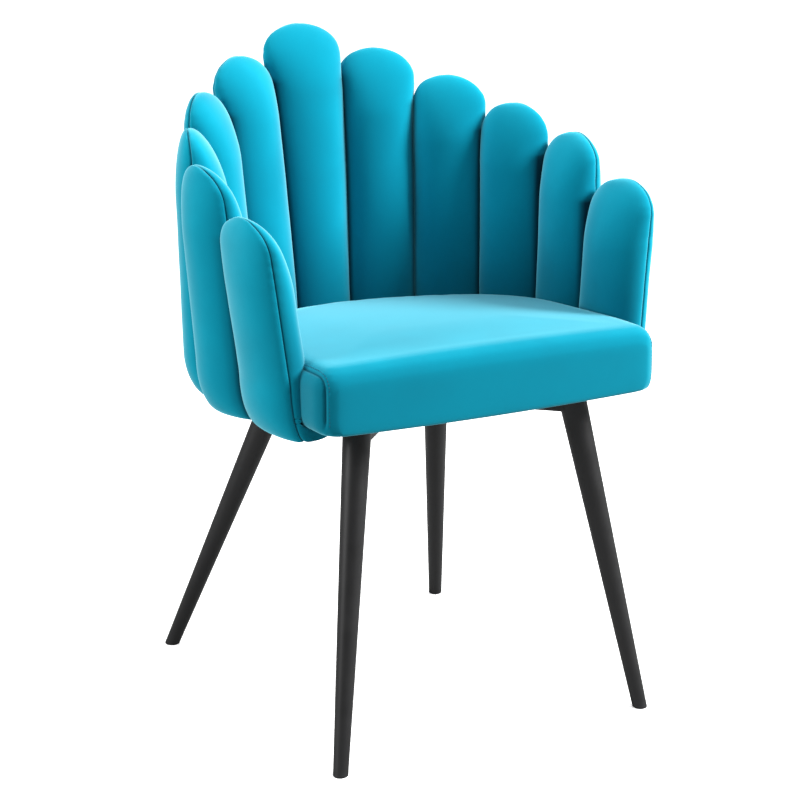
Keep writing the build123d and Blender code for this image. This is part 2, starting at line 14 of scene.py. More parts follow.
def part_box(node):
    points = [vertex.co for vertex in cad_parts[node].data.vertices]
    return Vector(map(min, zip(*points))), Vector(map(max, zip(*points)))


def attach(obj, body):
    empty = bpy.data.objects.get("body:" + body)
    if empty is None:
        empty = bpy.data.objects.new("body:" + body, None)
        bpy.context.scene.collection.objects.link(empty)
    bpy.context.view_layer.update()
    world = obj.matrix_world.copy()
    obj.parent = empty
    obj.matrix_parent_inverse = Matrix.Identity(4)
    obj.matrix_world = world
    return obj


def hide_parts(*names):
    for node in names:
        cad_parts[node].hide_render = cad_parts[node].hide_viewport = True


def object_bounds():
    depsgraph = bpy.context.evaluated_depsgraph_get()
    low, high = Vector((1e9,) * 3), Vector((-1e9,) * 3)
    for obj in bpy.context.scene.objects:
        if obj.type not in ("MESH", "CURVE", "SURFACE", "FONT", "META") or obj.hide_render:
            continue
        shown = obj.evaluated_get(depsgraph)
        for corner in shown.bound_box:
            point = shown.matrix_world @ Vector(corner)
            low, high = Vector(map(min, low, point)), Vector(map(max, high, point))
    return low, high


bl_info = {
    "name": "Velvet finger-back chair",
    "version": (1, 0, 0),
    "blender": (4, 5, 0),
    "location": "View3D > Sidebar > Chair",
    "description": "Dresses the packed chair with velvet covers, seams, painted steel and a studio",
    "category": "Add Mesh",
}

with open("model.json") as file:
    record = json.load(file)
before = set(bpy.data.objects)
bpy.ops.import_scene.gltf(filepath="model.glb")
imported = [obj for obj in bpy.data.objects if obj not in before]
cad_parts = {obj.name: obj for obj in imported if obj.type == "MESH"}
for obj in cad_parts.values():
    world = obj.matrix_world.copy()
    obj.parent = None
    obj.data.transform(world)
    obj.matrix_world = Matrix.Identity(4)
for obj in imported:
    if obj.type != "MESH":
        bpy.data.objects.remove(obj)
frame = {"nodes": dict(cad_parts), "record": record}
CAD_LOW, CAD_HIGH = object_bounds()

BODY = "root"
MIDDLE_FINGER = 6
FINGERS_PER_SIDE = 5
SEAT_LOW, SEAT_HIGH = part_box("seat_top_panel")
SIDE_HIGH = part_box("seat_side_panel_right")[1]
RAIL_LOW, RAIL_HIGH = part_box("back_rail")
BOARD_LOW, BOARD_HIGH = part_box("base_board")
CLOTH_LOW, CLOTH_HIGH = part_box("dust_cover")


def length(name, description, default):
    """A size that the panel shows."""
    return bpy.props.FloatProperty(name=name, description=description, default=default, unit="LENGTH")


def angle(name, description, degrees):
    """An angle that the panel shows, given in degrees."""
    return bpy.props.FloatProperty(
        name=name, description=description, default=math.radians(degrees), subtype="ANGLE")


def colour(name, description, default):
    """A colour that the panel shows."""
    return bpy.props.FloatVectorProperty(
        name=name, description=description, default=default, subtype="COLOR", min=0, max=1)


class BackSizes(bpy.types.PropertyGroup):
    """Sizes of the fingers and of the U-shaped line that they stand on."""

    pitch: length("Finger pitch", "Room that each finger takes along the back", 0.096)
    front_half_width: length(
        "Front half width", "From the front finger's middle to the end of the arm", 0.066)
    thickness: length("Thickness", "Depth of a finger from its inner to its outer crown", 0.067)
    gap: length(
        "Gap", "Gap between neighbouring fingers, negative where they press together", -0.001)
    plan_height: length("Plan height", "Height at which the plan is drawn", 0.482)
    back_centre: length("Back centre", "Y of the centre of the back's curve", -0.045)
    back_radius: length("Back radius", "Radius of the back's curve", 0.252)
    back_half_angle: angle("Back half angle", "Half of the angle that the back's curve turns through", 52)
    arm_radius: length("Arm radius", "Radius of the flatter curve of each arm", 0.268)
    lean_back: angle("Lean back", "Backward lean of all the fingers", 3.8)
    lean_out: angle("Lean out", "Lean of each finger away from the sitter", 1.7)
    front_taper: length(
        "Front taper", "How far the front finger's free edge recedes at its top, negative if it juts",
        -0.006)
    tip_setback: length("Tip setback", "How far outside its middle a finger's tip lies", 0.010)
    dome_height: length("Dome height", "Height over which a finger's top narrows to its tip", 0.040)
    dome_depth: length("Dome depth", "Height over which a finger's top thins to its tip", 0.088)
    undercut: length("Undercut", "Height over which a finger's lower end is drawn in", 0.056)
    fullness: bpy.props.FloatProperty(
        name="Fullness", description="Squareness of a finger's section, where 2 is an ellipse",
        default=2.2, min=2, max=4)
    arm_splay: angle("Arm splay", "Further outward lean of the front fingers", 5.0)
    arm_inward: length("Arms inward", "How far the padding of the arms stands in over their frame", 0.009)
    arm_forward: length(
        "Arms forward", "How far the padding of the arms stands forward of their frame", 0.007)
    fan: length("Fan", "How far the middle fingers spread apart at their tops", 0.0046)
    curl: length("Curl", "How far the tallest finger's top curves back", 0.016)
    tip_back: bpy.props.FloatProperty(
        name="Tip back", description="Share by which the front finger's tip lies behind its middle",
        default=-0.06, min=-0.5, max=0.5)
    low_swell: length("Low swell", "How much fuller the fingers are outside near their lower ends", 0.009)
    seam_dip: length("Seam dip", "Depth of the soft valley along a finger's seam", 0.0014)
    seam_groove: length("Seam groove", "Depth of the sharp crease of a finger's seam", 0.0018)
    pucker: length("Pucker", "Height of the small gathers that cross a seam", 0.0011)


class SeatSizes(bpy.types.PropertyGroup):
    """Sizes of the seat cushion and its cover."""

    corner: length("Corner", "Radius of the seat's front corners in plan", 0.025)
    rim: length("Rim", "Radius of the cushion's upper edge", 0.026)
    hem: length("Hem", "Radius of the cushion's lower edge", 0.006)
    crown: length("Crown", "Radius of the cushion's top from front to back", 2.75)
    side_crown: length("Side crown", "Radius of the cushion's top from side to side", 9.0)
    crown_place: length("Crown place", "Y of the highest point of the cushion", -0.225)
    flare: length("Flare", "How much wider each side of the seat is in front of the arms", 0.006)
    bow: length("Bow", "Sag of the front's lower edge in the middle", 0.004)
    groove: length("Seam groove", "Depth of the crease between the cover's panels", 0.0020)
    stitch: length("Stitch", "Spacing of the stitches along the seat's seams", 0.0042)


class Finishes(bpy.types.PropertyGroup):
    """Colours of the chair and its stage."""

    velvet: colour("Velvet", "Velvet seen with the nap", (0.002, 0.30, 0.42))
    velvet_deep: colour(
        "Deep velvet", "Velvet where the pile is brushed against the light", (0.001, 0.24, 0.345))
    # Painted shade: the colour that the velvet is painted where it faces the camera straight on.
    velvet_facing_painted_shade: colour(
        "Velvet seen into", "Velvet looked at straight down into its pile", (0.0005, 0.195, 0.285))
    # Painted sheen: the pale colour that the velvet is painted at grazing angles to the camera.
    velvet_grazing_painted_sheen: colour("Velvet along", "Velvet looked at along its surface", (0.34, 0.70, 0.80))
    # Painted shade: the dark colour that creases, seams, the low inside of the back and the seat are
    # painted towards.
    velvet_painted_shade: colour(
        "Creased velvet", "Velvet whose pile is pressed flat in a crease", (0.0, 0.012, 0.026))
    velvet_sheen: colour(
        "Velvet sheen", "Tint of the light that the pile's tips catch", (0.18, 0.84, 1.0))
    thread: colour("Thread", "Sewing thread", (0.001, 0.06, 0.10))
    steel: colour("Black steel", "Satin black powder coat", (0.007, 0.007, 0.0075))
    floor: colour("Floor", "Studio floor", (0.90, 0.90, 0.90))


def add_node(tree, kind, inputs=None, **settings):
    """Add a node with its settings and input values."""
    node = tree.nodes.new(kind)
    for name, value in settings.items():
        setattr(node, name, value)
    for name, value in (inputs or {}).items():
        node.inputs[name].default_value = value
    return node


def new_group(name, inputs, outputs):
    """Start a shader node group with named sockets."""
    tree = bpy.data.node_groups.new(name, "ShaderNodeTree")
    for label, kind, value in inputs:
        socket = tree.interface.new_socket(label, in_out="INPUT", socket_type=kind)
        if value is not None:
            socket.default_value = value
    for label, kind in outputs:
        tree.interface.new_socket(label, in_out="OUTPUT", socket_type=kind)
    return tree, tree.nodes.new("NodeGroupInput"), tree.nodes.new("NodeGroupOutput")


def patches_group():
    """Two tones in soft patches, as a brushed or handled surface has."""
    name = "soft_patches"
    if name in bpy.data.node_groups:
        return bpy.data.node_groups[name]
    tree, given, made = new_group(
        name,
        [
            ("Vector", "NodeSocketVector", None),
            ("Scale", "NodeSocketFloat", 8.0),
            ("Low", "NodeSocketColor", (0.1, 0.1, 0.1, 1)),
            ("High", "NodeSocketColor", (0.2, 0.2, 0.2, 1)),
        ],
        [("Color", "NodeSocketColor"), ("Mask", "NodeSocketFloat")],
    )
    cloud = add_node(tree, "ShaderNodeTexNoise", {"Detail": 3.0, "Roughness": 0.55})
    spread = add_node(tree, "ShaderNodeMapRange", {"From Min": 0.3, "From Max": 0.7})
    mix = add_node(tree, "ShaderNodeMix", data_type="RGBA")
    link = tree.links.new
    link(given.outputs["Vector"], cloud.inputs["Vector"])
    link(given.outputs["Scale"], cloud.inputs["Scale"])
    link(cloud.outputs["Fac"], spread.inputs["Value"])
    link(spread.outputs["Result"], mix.inputs["Factor"])
    link(given.outputs["Low"], mix.inputs["A"])
    link(given.outputs["High"], mix.inputs["B"])
    link(mix.outputs["Result"], made.inputs["Color"])
    link(spread.outputs["Result"], made.inputs["Mask"])
    return tree


def grain_group():
    """Fine even grain as a height, such as short pile, powder coat or moulded plastic has."""
    name = "fine_grain"
    if name in bpy.data.node_groups:
        return bpy.data.node_groups[name]
    tree, given, made = new_group(
        name,
        [("Vector", "NodeSocketVector", None), ("Scale", "NodeSocketFloat", 900.0)],
        [("Height", "NodeSocketFloat"), ("Color", "NodeSocketColor")],
    )
    grain = add_node(tree, "ShaderNodeTexNoise", {"Detail": 2.0, "Roughness": 0.6})
    link = tree.links.new
    link(given.outputs["Vector"], grain.inputs["Vector"])
    link(given.outputs["Scale"], grain.inputs["Scale"])
    link(grain.outputs["Fac"], made.inputs["Height"])
    link(grain.outputs["Color"], made.inputs["Color"])
    return tree


def grained_material(name, low, high, patch_scale, grain_scale, bump, rough, shader_values):
    """A material of two soft tones with a fine grain, and its own values on the shader."""
    material = bpy.data.materials.new(name)
    material.use_nodes = True
    tree = material.node_tree
    shader = tree.nodes["Principled BSDF"]
    for label, value in shader_values.items():
        shader.inputs[label].default_value = value
    place = add_node(tree, "ShaderNodeTexCoord")
    patches = add_node(tree, "ShaderNodeGroup", node_tree=patches_group())
    patches.inputs["Scale"].default_value = patch_scale
    patches.inputs["Low"].default_value = (*low, 1)
    patches.inputs["High"].default_value = (*high, 1)
    grain = add_node(tree, "ShaderNodeGroup", node_tree=grain_group())
    grain.inputs["Scale"].default_value = grain_scale
    relief = add_node(tree, "ShaderNodeBump", {"Strength": bump, "Distance": 0.0005})
    roughness = add_node(tree, "ShaderNodeMapRange", {"To Min": rough[0], "To Max": rough[1]})
    link = tree.links.new
    link(place.outputs["Object"], patches.inputs["Vector"])
    link(place.outputs["Object"], grain.inputs["Vector"])
    link(patches.outputs["Color"], shader.inputs["Base Color"])
    link(patches.outputs["Mask"], roughness.inputs["Value"])
    link(roughness.outputs["Result"], shader.inputs["Roughness"])
    link(grain.outputs["Height"], relief.inputs["Height"])
    link(relief.outputs["Normal"], shader.inputs["Normal"])
    return material


# How sharply the painted sheen gathers at grazing angles to the camera.
PAINTED_SHEEN_POWER = 6.0
# How far from facing the camera the painted shade of the velvet reaches.
PAINTED_FACING_SHADE_SPAN = 0.45


def velvet_material(finishes):
    """Short turquoise pile, with painted shade where it faces the camera, painted sheen at grazing angles
    and painted shade from each point's shade mark.
    """
    name = "turquoise_velvet"
    if name in bpy.data.materials:
        return bpy.data.materials[name]
    shader_values = {
        "Sheen Weight": 0.6,
        "Sheen Roughness": 0.42,
        "Sheen Tint": (*finishes.velvet_sheen, 1),
        "Specular IOR Level": 0.04,
    }
    material = grained_material(
        name, low=finishes.velvet_deep, high=finishes.velvet, patch_scale=9.0, grain_scale=1400.0,
        bump=0.18, rough=(0.82, 0.95), shader_values=shader_values)
    tree = material.node_tree
    shader = tree.nodes["Principled BSDF"]
    pile = shader.inputs["Base Color"].links[0].from_socket
    slant = add_node(tree, "ShaderNodeLayerWeight", {"Blend": 0.5})
    # Painted shade: darker where the surface faces the camera.
    into = add_node(tree, "ShaderNodeMapRange", {"From Max": PAINTED_FACING_SHADE_SPAN, "To Min": 1.0, "To Max": 0.0})
    # Painted sheen: paler at grazing angles to the camera.
    along = add_node(tree, "ShaderNodeMath", operation="POWER")
    along.inputs[1].default_value = PAINTED_SHEEN_POWER
    # Painted shade from each point's shade mark: creases, seams, the low inside of the back and the seat.
    pressed = add_node(tree, "ShaderNodeAttribute", attribute_name="shade")
    tones = [(into.outputs["Result"], finishes.velvet_facing_painted_shade), (along.outputs[0], finishes.velvet_grazing_painted_sheen),
             (pressed.outputs["Fac"], finishes.velvet_painted_shade)]
    tree.links.new(slant.outputs["Facing"], into.inputs["Value"])
    tree.links.new(slant.outputs["Facing"], along.inputs[0])
    for share, tone in tones:
        mix = add_node(tree, "ShaderNodeMix", data_type="RGBA")
        mix.inputs["B"].default_value = (*tone, 1)
        tree.links.new(share, mix.inputs["Factor"])
        tree.links.new(pile, mix.inputs["A"])
        pile = mix.outputs["Result"]
    tree.links.new(pile, shader.inputs["Base Color"])
    return material


STEEL_SPREAD = 1.25
THREAD_SPREAD = 1.5


def steel_material(finishes):
    """Satin black powder coat over steel."""
    return grained_material(
        "black_powder_coat", low=finishes.steel, high=[value * STEEL_SPREAD for value in finishes.steel],
        patch_scale=30.0, grain_scale=1100.0, bump=0.10, rough=(0.40, 0.50),
        shader_values={"Specular IOR Level": 0.45})


def thread_material(finishes):
    """Twisted sewing thread, darker than the velvet."""
    return grained_material(
        "seam_thread", low=finishes.thread, high=[value * THREAD_SPREAD for value in finishes.thread],
        patch_scale=300.0, grain_scale=2500.0, bump=0.3, rough=(0.6, 0.75),
        shader_values={"Specular IOR Level": 0.3})


PLAIN_FINISHES = {
    "glide_plastic": {
        "name": "black_plastic", "low": (0.008, 0.008, 0.009), "high": (0.014, 0.014, 0.015),
        "patch_scale": 60.0, "grain_scale": 800.0, "bump": 0.2, "rough": (0.5, 0.62),
        "shader_values": {"Specular IOR Level": 0.4}},
    "dust_cloth": {
        "name": "black_dust_cloth", "low": (0.010, 0.010, 0.011), "high": (0.020, 0.020, 0.021),
        "patch_scale": 220.0, "grain_scale": 1600.0, "bump": 0.6, "rough": (0.85, 1.0),
        "shader_values": {"Specular IOR Level": 0.1, "Sheen Weight": 0.15}},
    "zinc_steel": {
        "name": "zinc_plate", "low": (0.50, 0.51, 0.52), "high": (0.66, 0.66, 0.64),
        "patch_scale": 90.0, "grain_scale": 900.0, "bump": 0.08, "rough": (0.28, 0.42),
        "shader_values": {"Metallic": 1.0}},
    "foam": {
        "name": "upholstery_foam", "low": (0.62, 0.52, 0.32), "high": (0.74, 0.65, 0.43),
        "patch_scale": 40.0, "grain_scale": 700.0, "bump": 0.7, "rough": (0.85, 0.98),
        "shader_values": {"Specular IOR Level": 0.15}},
}


def plain_material(slot):
    """Moulded plastic, spun cloth, bright zinc or open-cell foam, made once."""
    values = PLAIN_FINISHES[slot]
    if values["name"] in bpy.data.materials:
        return bpy.data.materials[values["name"]]
    return grained_material(**values)


def plywood_material():
    """Raw birch plywood, with long grain on its faces and bands of plies on its edges."""
    material = bpy.data.materials.new("birch_plywood")
    material.use_nodes = True
    tree = material.node_tree
    shader = tree.nodes["Principled BSDF"]
    shader.inputs["Specular IOR Level"].default_value = 0.3
    place = add_node(tree, "ShaderNodeTexCoord")
    stretch = add_node(tree, "ShaderNodeMapping")
    stretch.inputs["Scale"].default_value = (14.0, 90.0, 0.0)
    grain = add_node(tree, "ShaderNodeTexNoise", {"Scale": 1.0, "Detail": 5.0, "Roughness": 0.6})
    plies = add_node(
        tree, "ShaderNodeTexWave", {"Scale": 105.0, "Distortion": 0.4, "Detail": 1.0},
        wave_type="BANDS", bands_direction="Z", wave_profile="TRI")
    face_tone = add_node(tree, "ShaderNodeMix", data_type="RGBA")
    face_tone.inputs["A"].default_value = (0.42, 0.27, 0.14, 1)
    face_tone.inputs["B"].default_value = (0.66, 0.48, 0.29, 1)
    ply_tone = add_node(tree, "ShaderNodeMix", data_type="RGBA", blend_type="MULTIPLY")
    ply_tone.inputs["Factor"].default_value = 0.35
    roughness = add_node(tree, "ShaderNodeMapRange", {"To Min": 0.6, "To Max": 0.8})
    relief = add_node(tree, "ShaderNodeBump", {"Strength": 0.25, "Distance": 0.0004})
    link = tree.links.new
    link(place.outputs["Object"], stretch.inputs["Vector"])
    link(stretch.outputs["Vector"], grain.inputs["Vector"])
    link(place.outputs["Object"], plies.inputs["Vector"])
    link(grain.outputs["Fac"], face_tone.inputs["Factor"])
    link(face_tone.outputs["Result"], ply_tone.inputs["A"])
    link(plies.outputs["Color"], ply_tone.inputs["B"])
    link(ply_tone.outputs["Result"], shader.inputs["Base Color"])
    link(grain.outputs["Fac"], roughness.inputs["Value"])
    link(roughness.outputs["Result"], shader.inputs["Roughness"])
    link(grain.outputs["Fac"], relief.inputs["Height"])
    link(relief.outputs["Normal"], shader.inputs["Normal"])
    return material


def new_piece(name, form, material, replaced=()):
    """Turn a bmesh into a smooth piece of the chair that rides on its body."""
    mesh = bpy.data.meshes.new(name)
    form.to_mesh(mesh)
    form.free()
    mesh.shade_smooth()
    mesh.materials.append(material)
    piece = bpy.data.objects.new(name, mesh)
    bpy.context.scene.collection.objects.link(piece)
    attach(piece, BODY)
    if replaced:
        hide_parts(*replaced)
    return piece


def points_of(mesh):
    """Coordinates of a mesh's vertices as rows."""
    points = np.zeros(len(mesh.vertices) * 3)
    mesh.vertices.foreach_get("co", points)
    return points.reshape(-1, 3)


def normals_of(mesh):
    """Normals of a mesh's vertices as rows."""
    normals = np.zeros(len(mesh.vertices) * 3)
    mesh.vertex_normals.foreach_get("vector", normals)
    return normals.reshape(-1, 3)


def set_points(mesh, points):
    """Move a mesh's vertices."""
    mesh.vertices.foreach_set("co", points.astype(np.float32).ravel())
    mesh.update()


def values_of(mesh, name):
    """Values of a mesh's named attribute."""
    values = np.zeros(len(mesh.vertices), np.float32)
    mesh.attributes[name].data.foreach_get("value", values)
    return values.astype(float)


def bake_modifiers(piece):
    """Make a piece's modifiers part of its mesh."""
    graph = bpy.context.evaluated_depsgraph_get()
    old = piece.data
    made = bpy.data.meshes.new_from_object(piece.evaluated_get(graph), preserve_all_data_layers=True,
                                           depsgraph=graph)
    piece.modifiers.clear()
    piece.data = made
    bpy.data.meshes.remove(old)
    made.name = piece.name


# The cloth that puffs the covers: frames, pressure, stiffness, and how far a point may move.
PUFF_FRAMES = 20
PUFF_PRESSURE = 4.0
PUFF_TENSION = 18.0
FINGER_PUFF = 0.003
SEAT_PUFF = 0.003
PUFF_EASE = (0.03, 0.15)


def puff(pieces, held, caps):
    """Blow up closed covers between their held points as cloth, each point by at most its cap."""
    scene = bpy.context.scene
    rests = [points_of(piece.data) for piece in pieces]
    for piece, places in zip(pieces, held):
        group = piece.vertex_groups.new(name="held")
        group.add([int(place) for place in places], 1.0, "REPLACE")
        cloth = piece.modifiers.new("puff", "CLOTH")
        cloth.settings.vertex_group_mass = group.name
        cloth.settings.use_pressure = True
        cloth.settings.uniform_pressure_force = PUFF_PRESSURE
        cloth.settings.tension_stiffness = PUFF_TENSION
        cloth.settings.compression_stiffness = PUFF_TENSION
        cloth.settings.effector_weights.gravity = 0
        cloth.collision_settings.use_collision = False
        cloth.point_cache.frame_end = PUFF_FRAMES
    for number in range(1, PUFF_FRAMES + 1):
        scene.frame_set(number)
    graph = bpy.context.evaluated_depsgraph_get()
    for piece, rest, cap in zip(pieces, rests, caps):
        puffed = points_of(piece.evaluated_get(graph).data)
        moved = puffed - rest
        length = np.linalg.norm(moved, axis=1)
        moved *= np.minimum(1, cap / np.maximum(length, 1e-9))[:, None]
        piece.modifiers.clear()
        piece.vertex_groups.clear()
        set_points(piece.data, rest + moved)
    scene.frame_set(1)


def subdivide(piece):
    """Smooth a piece by one level of subdivision."""
    rounder = piece.modifiers.new("rounder", "SUBSURF")
    rounder.levels = 1
    rounder.render_levels = 1
    bake_modifiers(piece)


def smooth_step(value, low, high):
    """Ease from 0 at low to 1 at high."""
    share = np.clip((value - low) / (high - low), 0, 1)
    return share * share * (3 - 2 * share)


def bell(reach, width):
    """Fall from 1 in the middle to nothing a few widths away."""
    return np.exp(-(reach / width) ** 2)


def run_along(path):
    """Distance of each point of a path from its start."""
    return np.concatenate([[0], np.cumsum(np.linalg.norm(np.diff(path, axis=0), axis=1))])


def spot_at(path, run, distance):
    """Point of a path at a distance from its start."""
    return np.array([np.interp(distance, run, path[:, axis]) for axis in range(3)])


def plan_frame(back, distance):
    """Point, outward and forward directions at a distance along the back's U-shaped plan."""
    side = -1 if distance < 0 else 1
    travel = abs(distance)
    bend = back.back_half_angle
    back_length = back.back_radius * bend
    centre = Vector((0, back.back_centre, 0))
    radius = back.back_radius
    turn = travel / radius
    if travel > back_length:
        radius = back.arm_radius
        centre += Vector((math.sin(bend), math.cos(bend), 0)) * (back.back_radius - radius)
        turn = bend + (travel - back_length) / radius
    straight = max(0, turn - math.pi / 2) * radius
    turn = min(turn, math.pi / 2)
    outward = Vector((side * math.sin(turn), math.cos(turn), 0))
    forward = Vector((math.cos(turn), -side * math.sin(turn), 0))
    point = Vector((side * centre.x, centre.y - straight, 0)) + outward * radius
    return point, outward, forward


# A finger's mesh and section, and where the rail, the seat and the neighbours press on it.
AROUND = 56
SEAM_CROWDING = 0.78
SEAM_SHARE = 0.22
HIDDEN_SEAM_SHARE = 0.42
FLANK_SWELL = 1.03
BARE_SWELL = 1.06
DOME_POWER = 2.0
THIN_POWER = 1.7
UNDERCUT_LEFT = 0.62
UNDERCUT_ROWS = 12
DOME_ROWS = 14
ROW_STEP = 0.0045
RAIL_SETBACK = 0.0145
RAIL_DEPTH = 0.0035
SLACK = 0.0012
BOTTOM_SAG = 0.003
SPLAY_START = 3
SEAM_TURN = (0.04, 0.17)
BARE_TIP = 0.004
BARE_DOME_SHARE = 0.6
NEIGHBOUR_TIP = 0.008
SWELL_FADE = 0.2
RAIL_END_EASE = 0.006
RAIL_TOP = (RAIL_HIGH.z + 0.002, RAIL_HIGH.z + 0.008)
FAR = 1.0
LIP_DROP = 0.0005
FREE_LIP_DROP = 0.002
LIP_EASE = 0.0015
HELD_SEAM = 0.006
HELD_BARE = 0.5
HELD_SEAT = 0.012
HELD_INNER = 0.2
HELD_RAIL = 0.012
SEAT_CLEARANCE = 0.0008
FREE_TUCK = 0.006
FREE_TUCK_HEIGHT = 0.085
LIP_DEPTH = 0.009
FREE_LIP_DEPTH = 0.030
ARM_EASE = (0.37, 0.47)
FAN_START = 0.055
FAN_EASE = (0.30, 0.44)
FAN_HEIGHTS = (0.50, 0.76)
LIP_ROWS = (0.0015, 0.0035, 0.0056, 0.0064, 0.0072, 0.0085, 0.0105)
FOLD_RISES = (0.024, 0.030)
FOLD_ROWS = (-0.0026, -0.0012, -0.0004, 0.0004, 0.0012, 0.0026)


def arm_line(back):
    """Centre of the right arm's curve, and how far outside the plan's line the seat's side lies."""
    bend = back.back_half_angle
    centre = Vector((math.sin(bend), math.cos(bend), 0)) * (back.back_radius - back.arm_radius)
    centre += Vector((0, back.back_centre, 0))
    return centre, SIDE_HIGH.x - (centre.x + back.arm_radius)


def lean_shift(back, height):
    """How far back the plan has moved at a height."""
    return (height - back.plan_height) * math.tan(back.lean_back)


def seat_height(seat, x, y):
    """Height of the seat cushion's top."""
    return SEAT_HIGH.z - (y - seat.crown_place) ** 2 / (2 * seat.crown) - x ** 2 / (2 * seat.side_crown)


def finger_rows(back, bottom, top):
    """Heights of a finger's rows of points, close together where its ends curve."""
    waist = bottom + back.undercut
    shoulder = top - back.dome_height
    quarter = math.pi / 2
    rows = [bottom]
    rows += [bottom + back.undercut * (1 - math.cos(quarter * step / UNDERCUT_ROWS))
             for step in range(UNDERCUT_ROWS)]
    straight_rows = round((shoulder - waist) / ROW_STEP)
    rows += [waist + (shoulder - waist) * step / straight_rows for step in range(straight_rows)]
    rows += [shoulder + back.dome_height * math.sin(quarter * step / DOME_ROWS) ** (2 / DOME_POWER)
             for step in range(DOME_ROWS + 1)]
    return rows


def crowded(share):
    """Shares of a panel's girth, close together at both of its seams."""
    return share - SEAM_CROWDING * np.sin(2 * math.pi * share) / (2 * math.pi)


def skin_angles(back, share, seam_share):
    """Angles round a finger's section, first over the outer panel and then over the inner one."""
    seam = np.arcsin(seam_share ** (back.fullness / 2))
    outer = crowded(np.minimum(share * 2, 1))
    inner = crowded(np.maximum(share * 2 - 1, 0))
    return seam + (math.pi - 2 * seam) * outer + (math.pi + 2 * seam) * inner


def dome(drop, reach, power):
    """Share of the full section that a rounded top has at a drop below its tip."""
    rest = np.clip(1 - drop / reach, 0, 1)
    return (1 - rest ** power) ** (1 / power)


def swept(wave, fullness):
    """Swing between -1 and 1, squarer than a sine."""
    return np.sign(wave) * np.abs(wave) ** (2 / fullness)


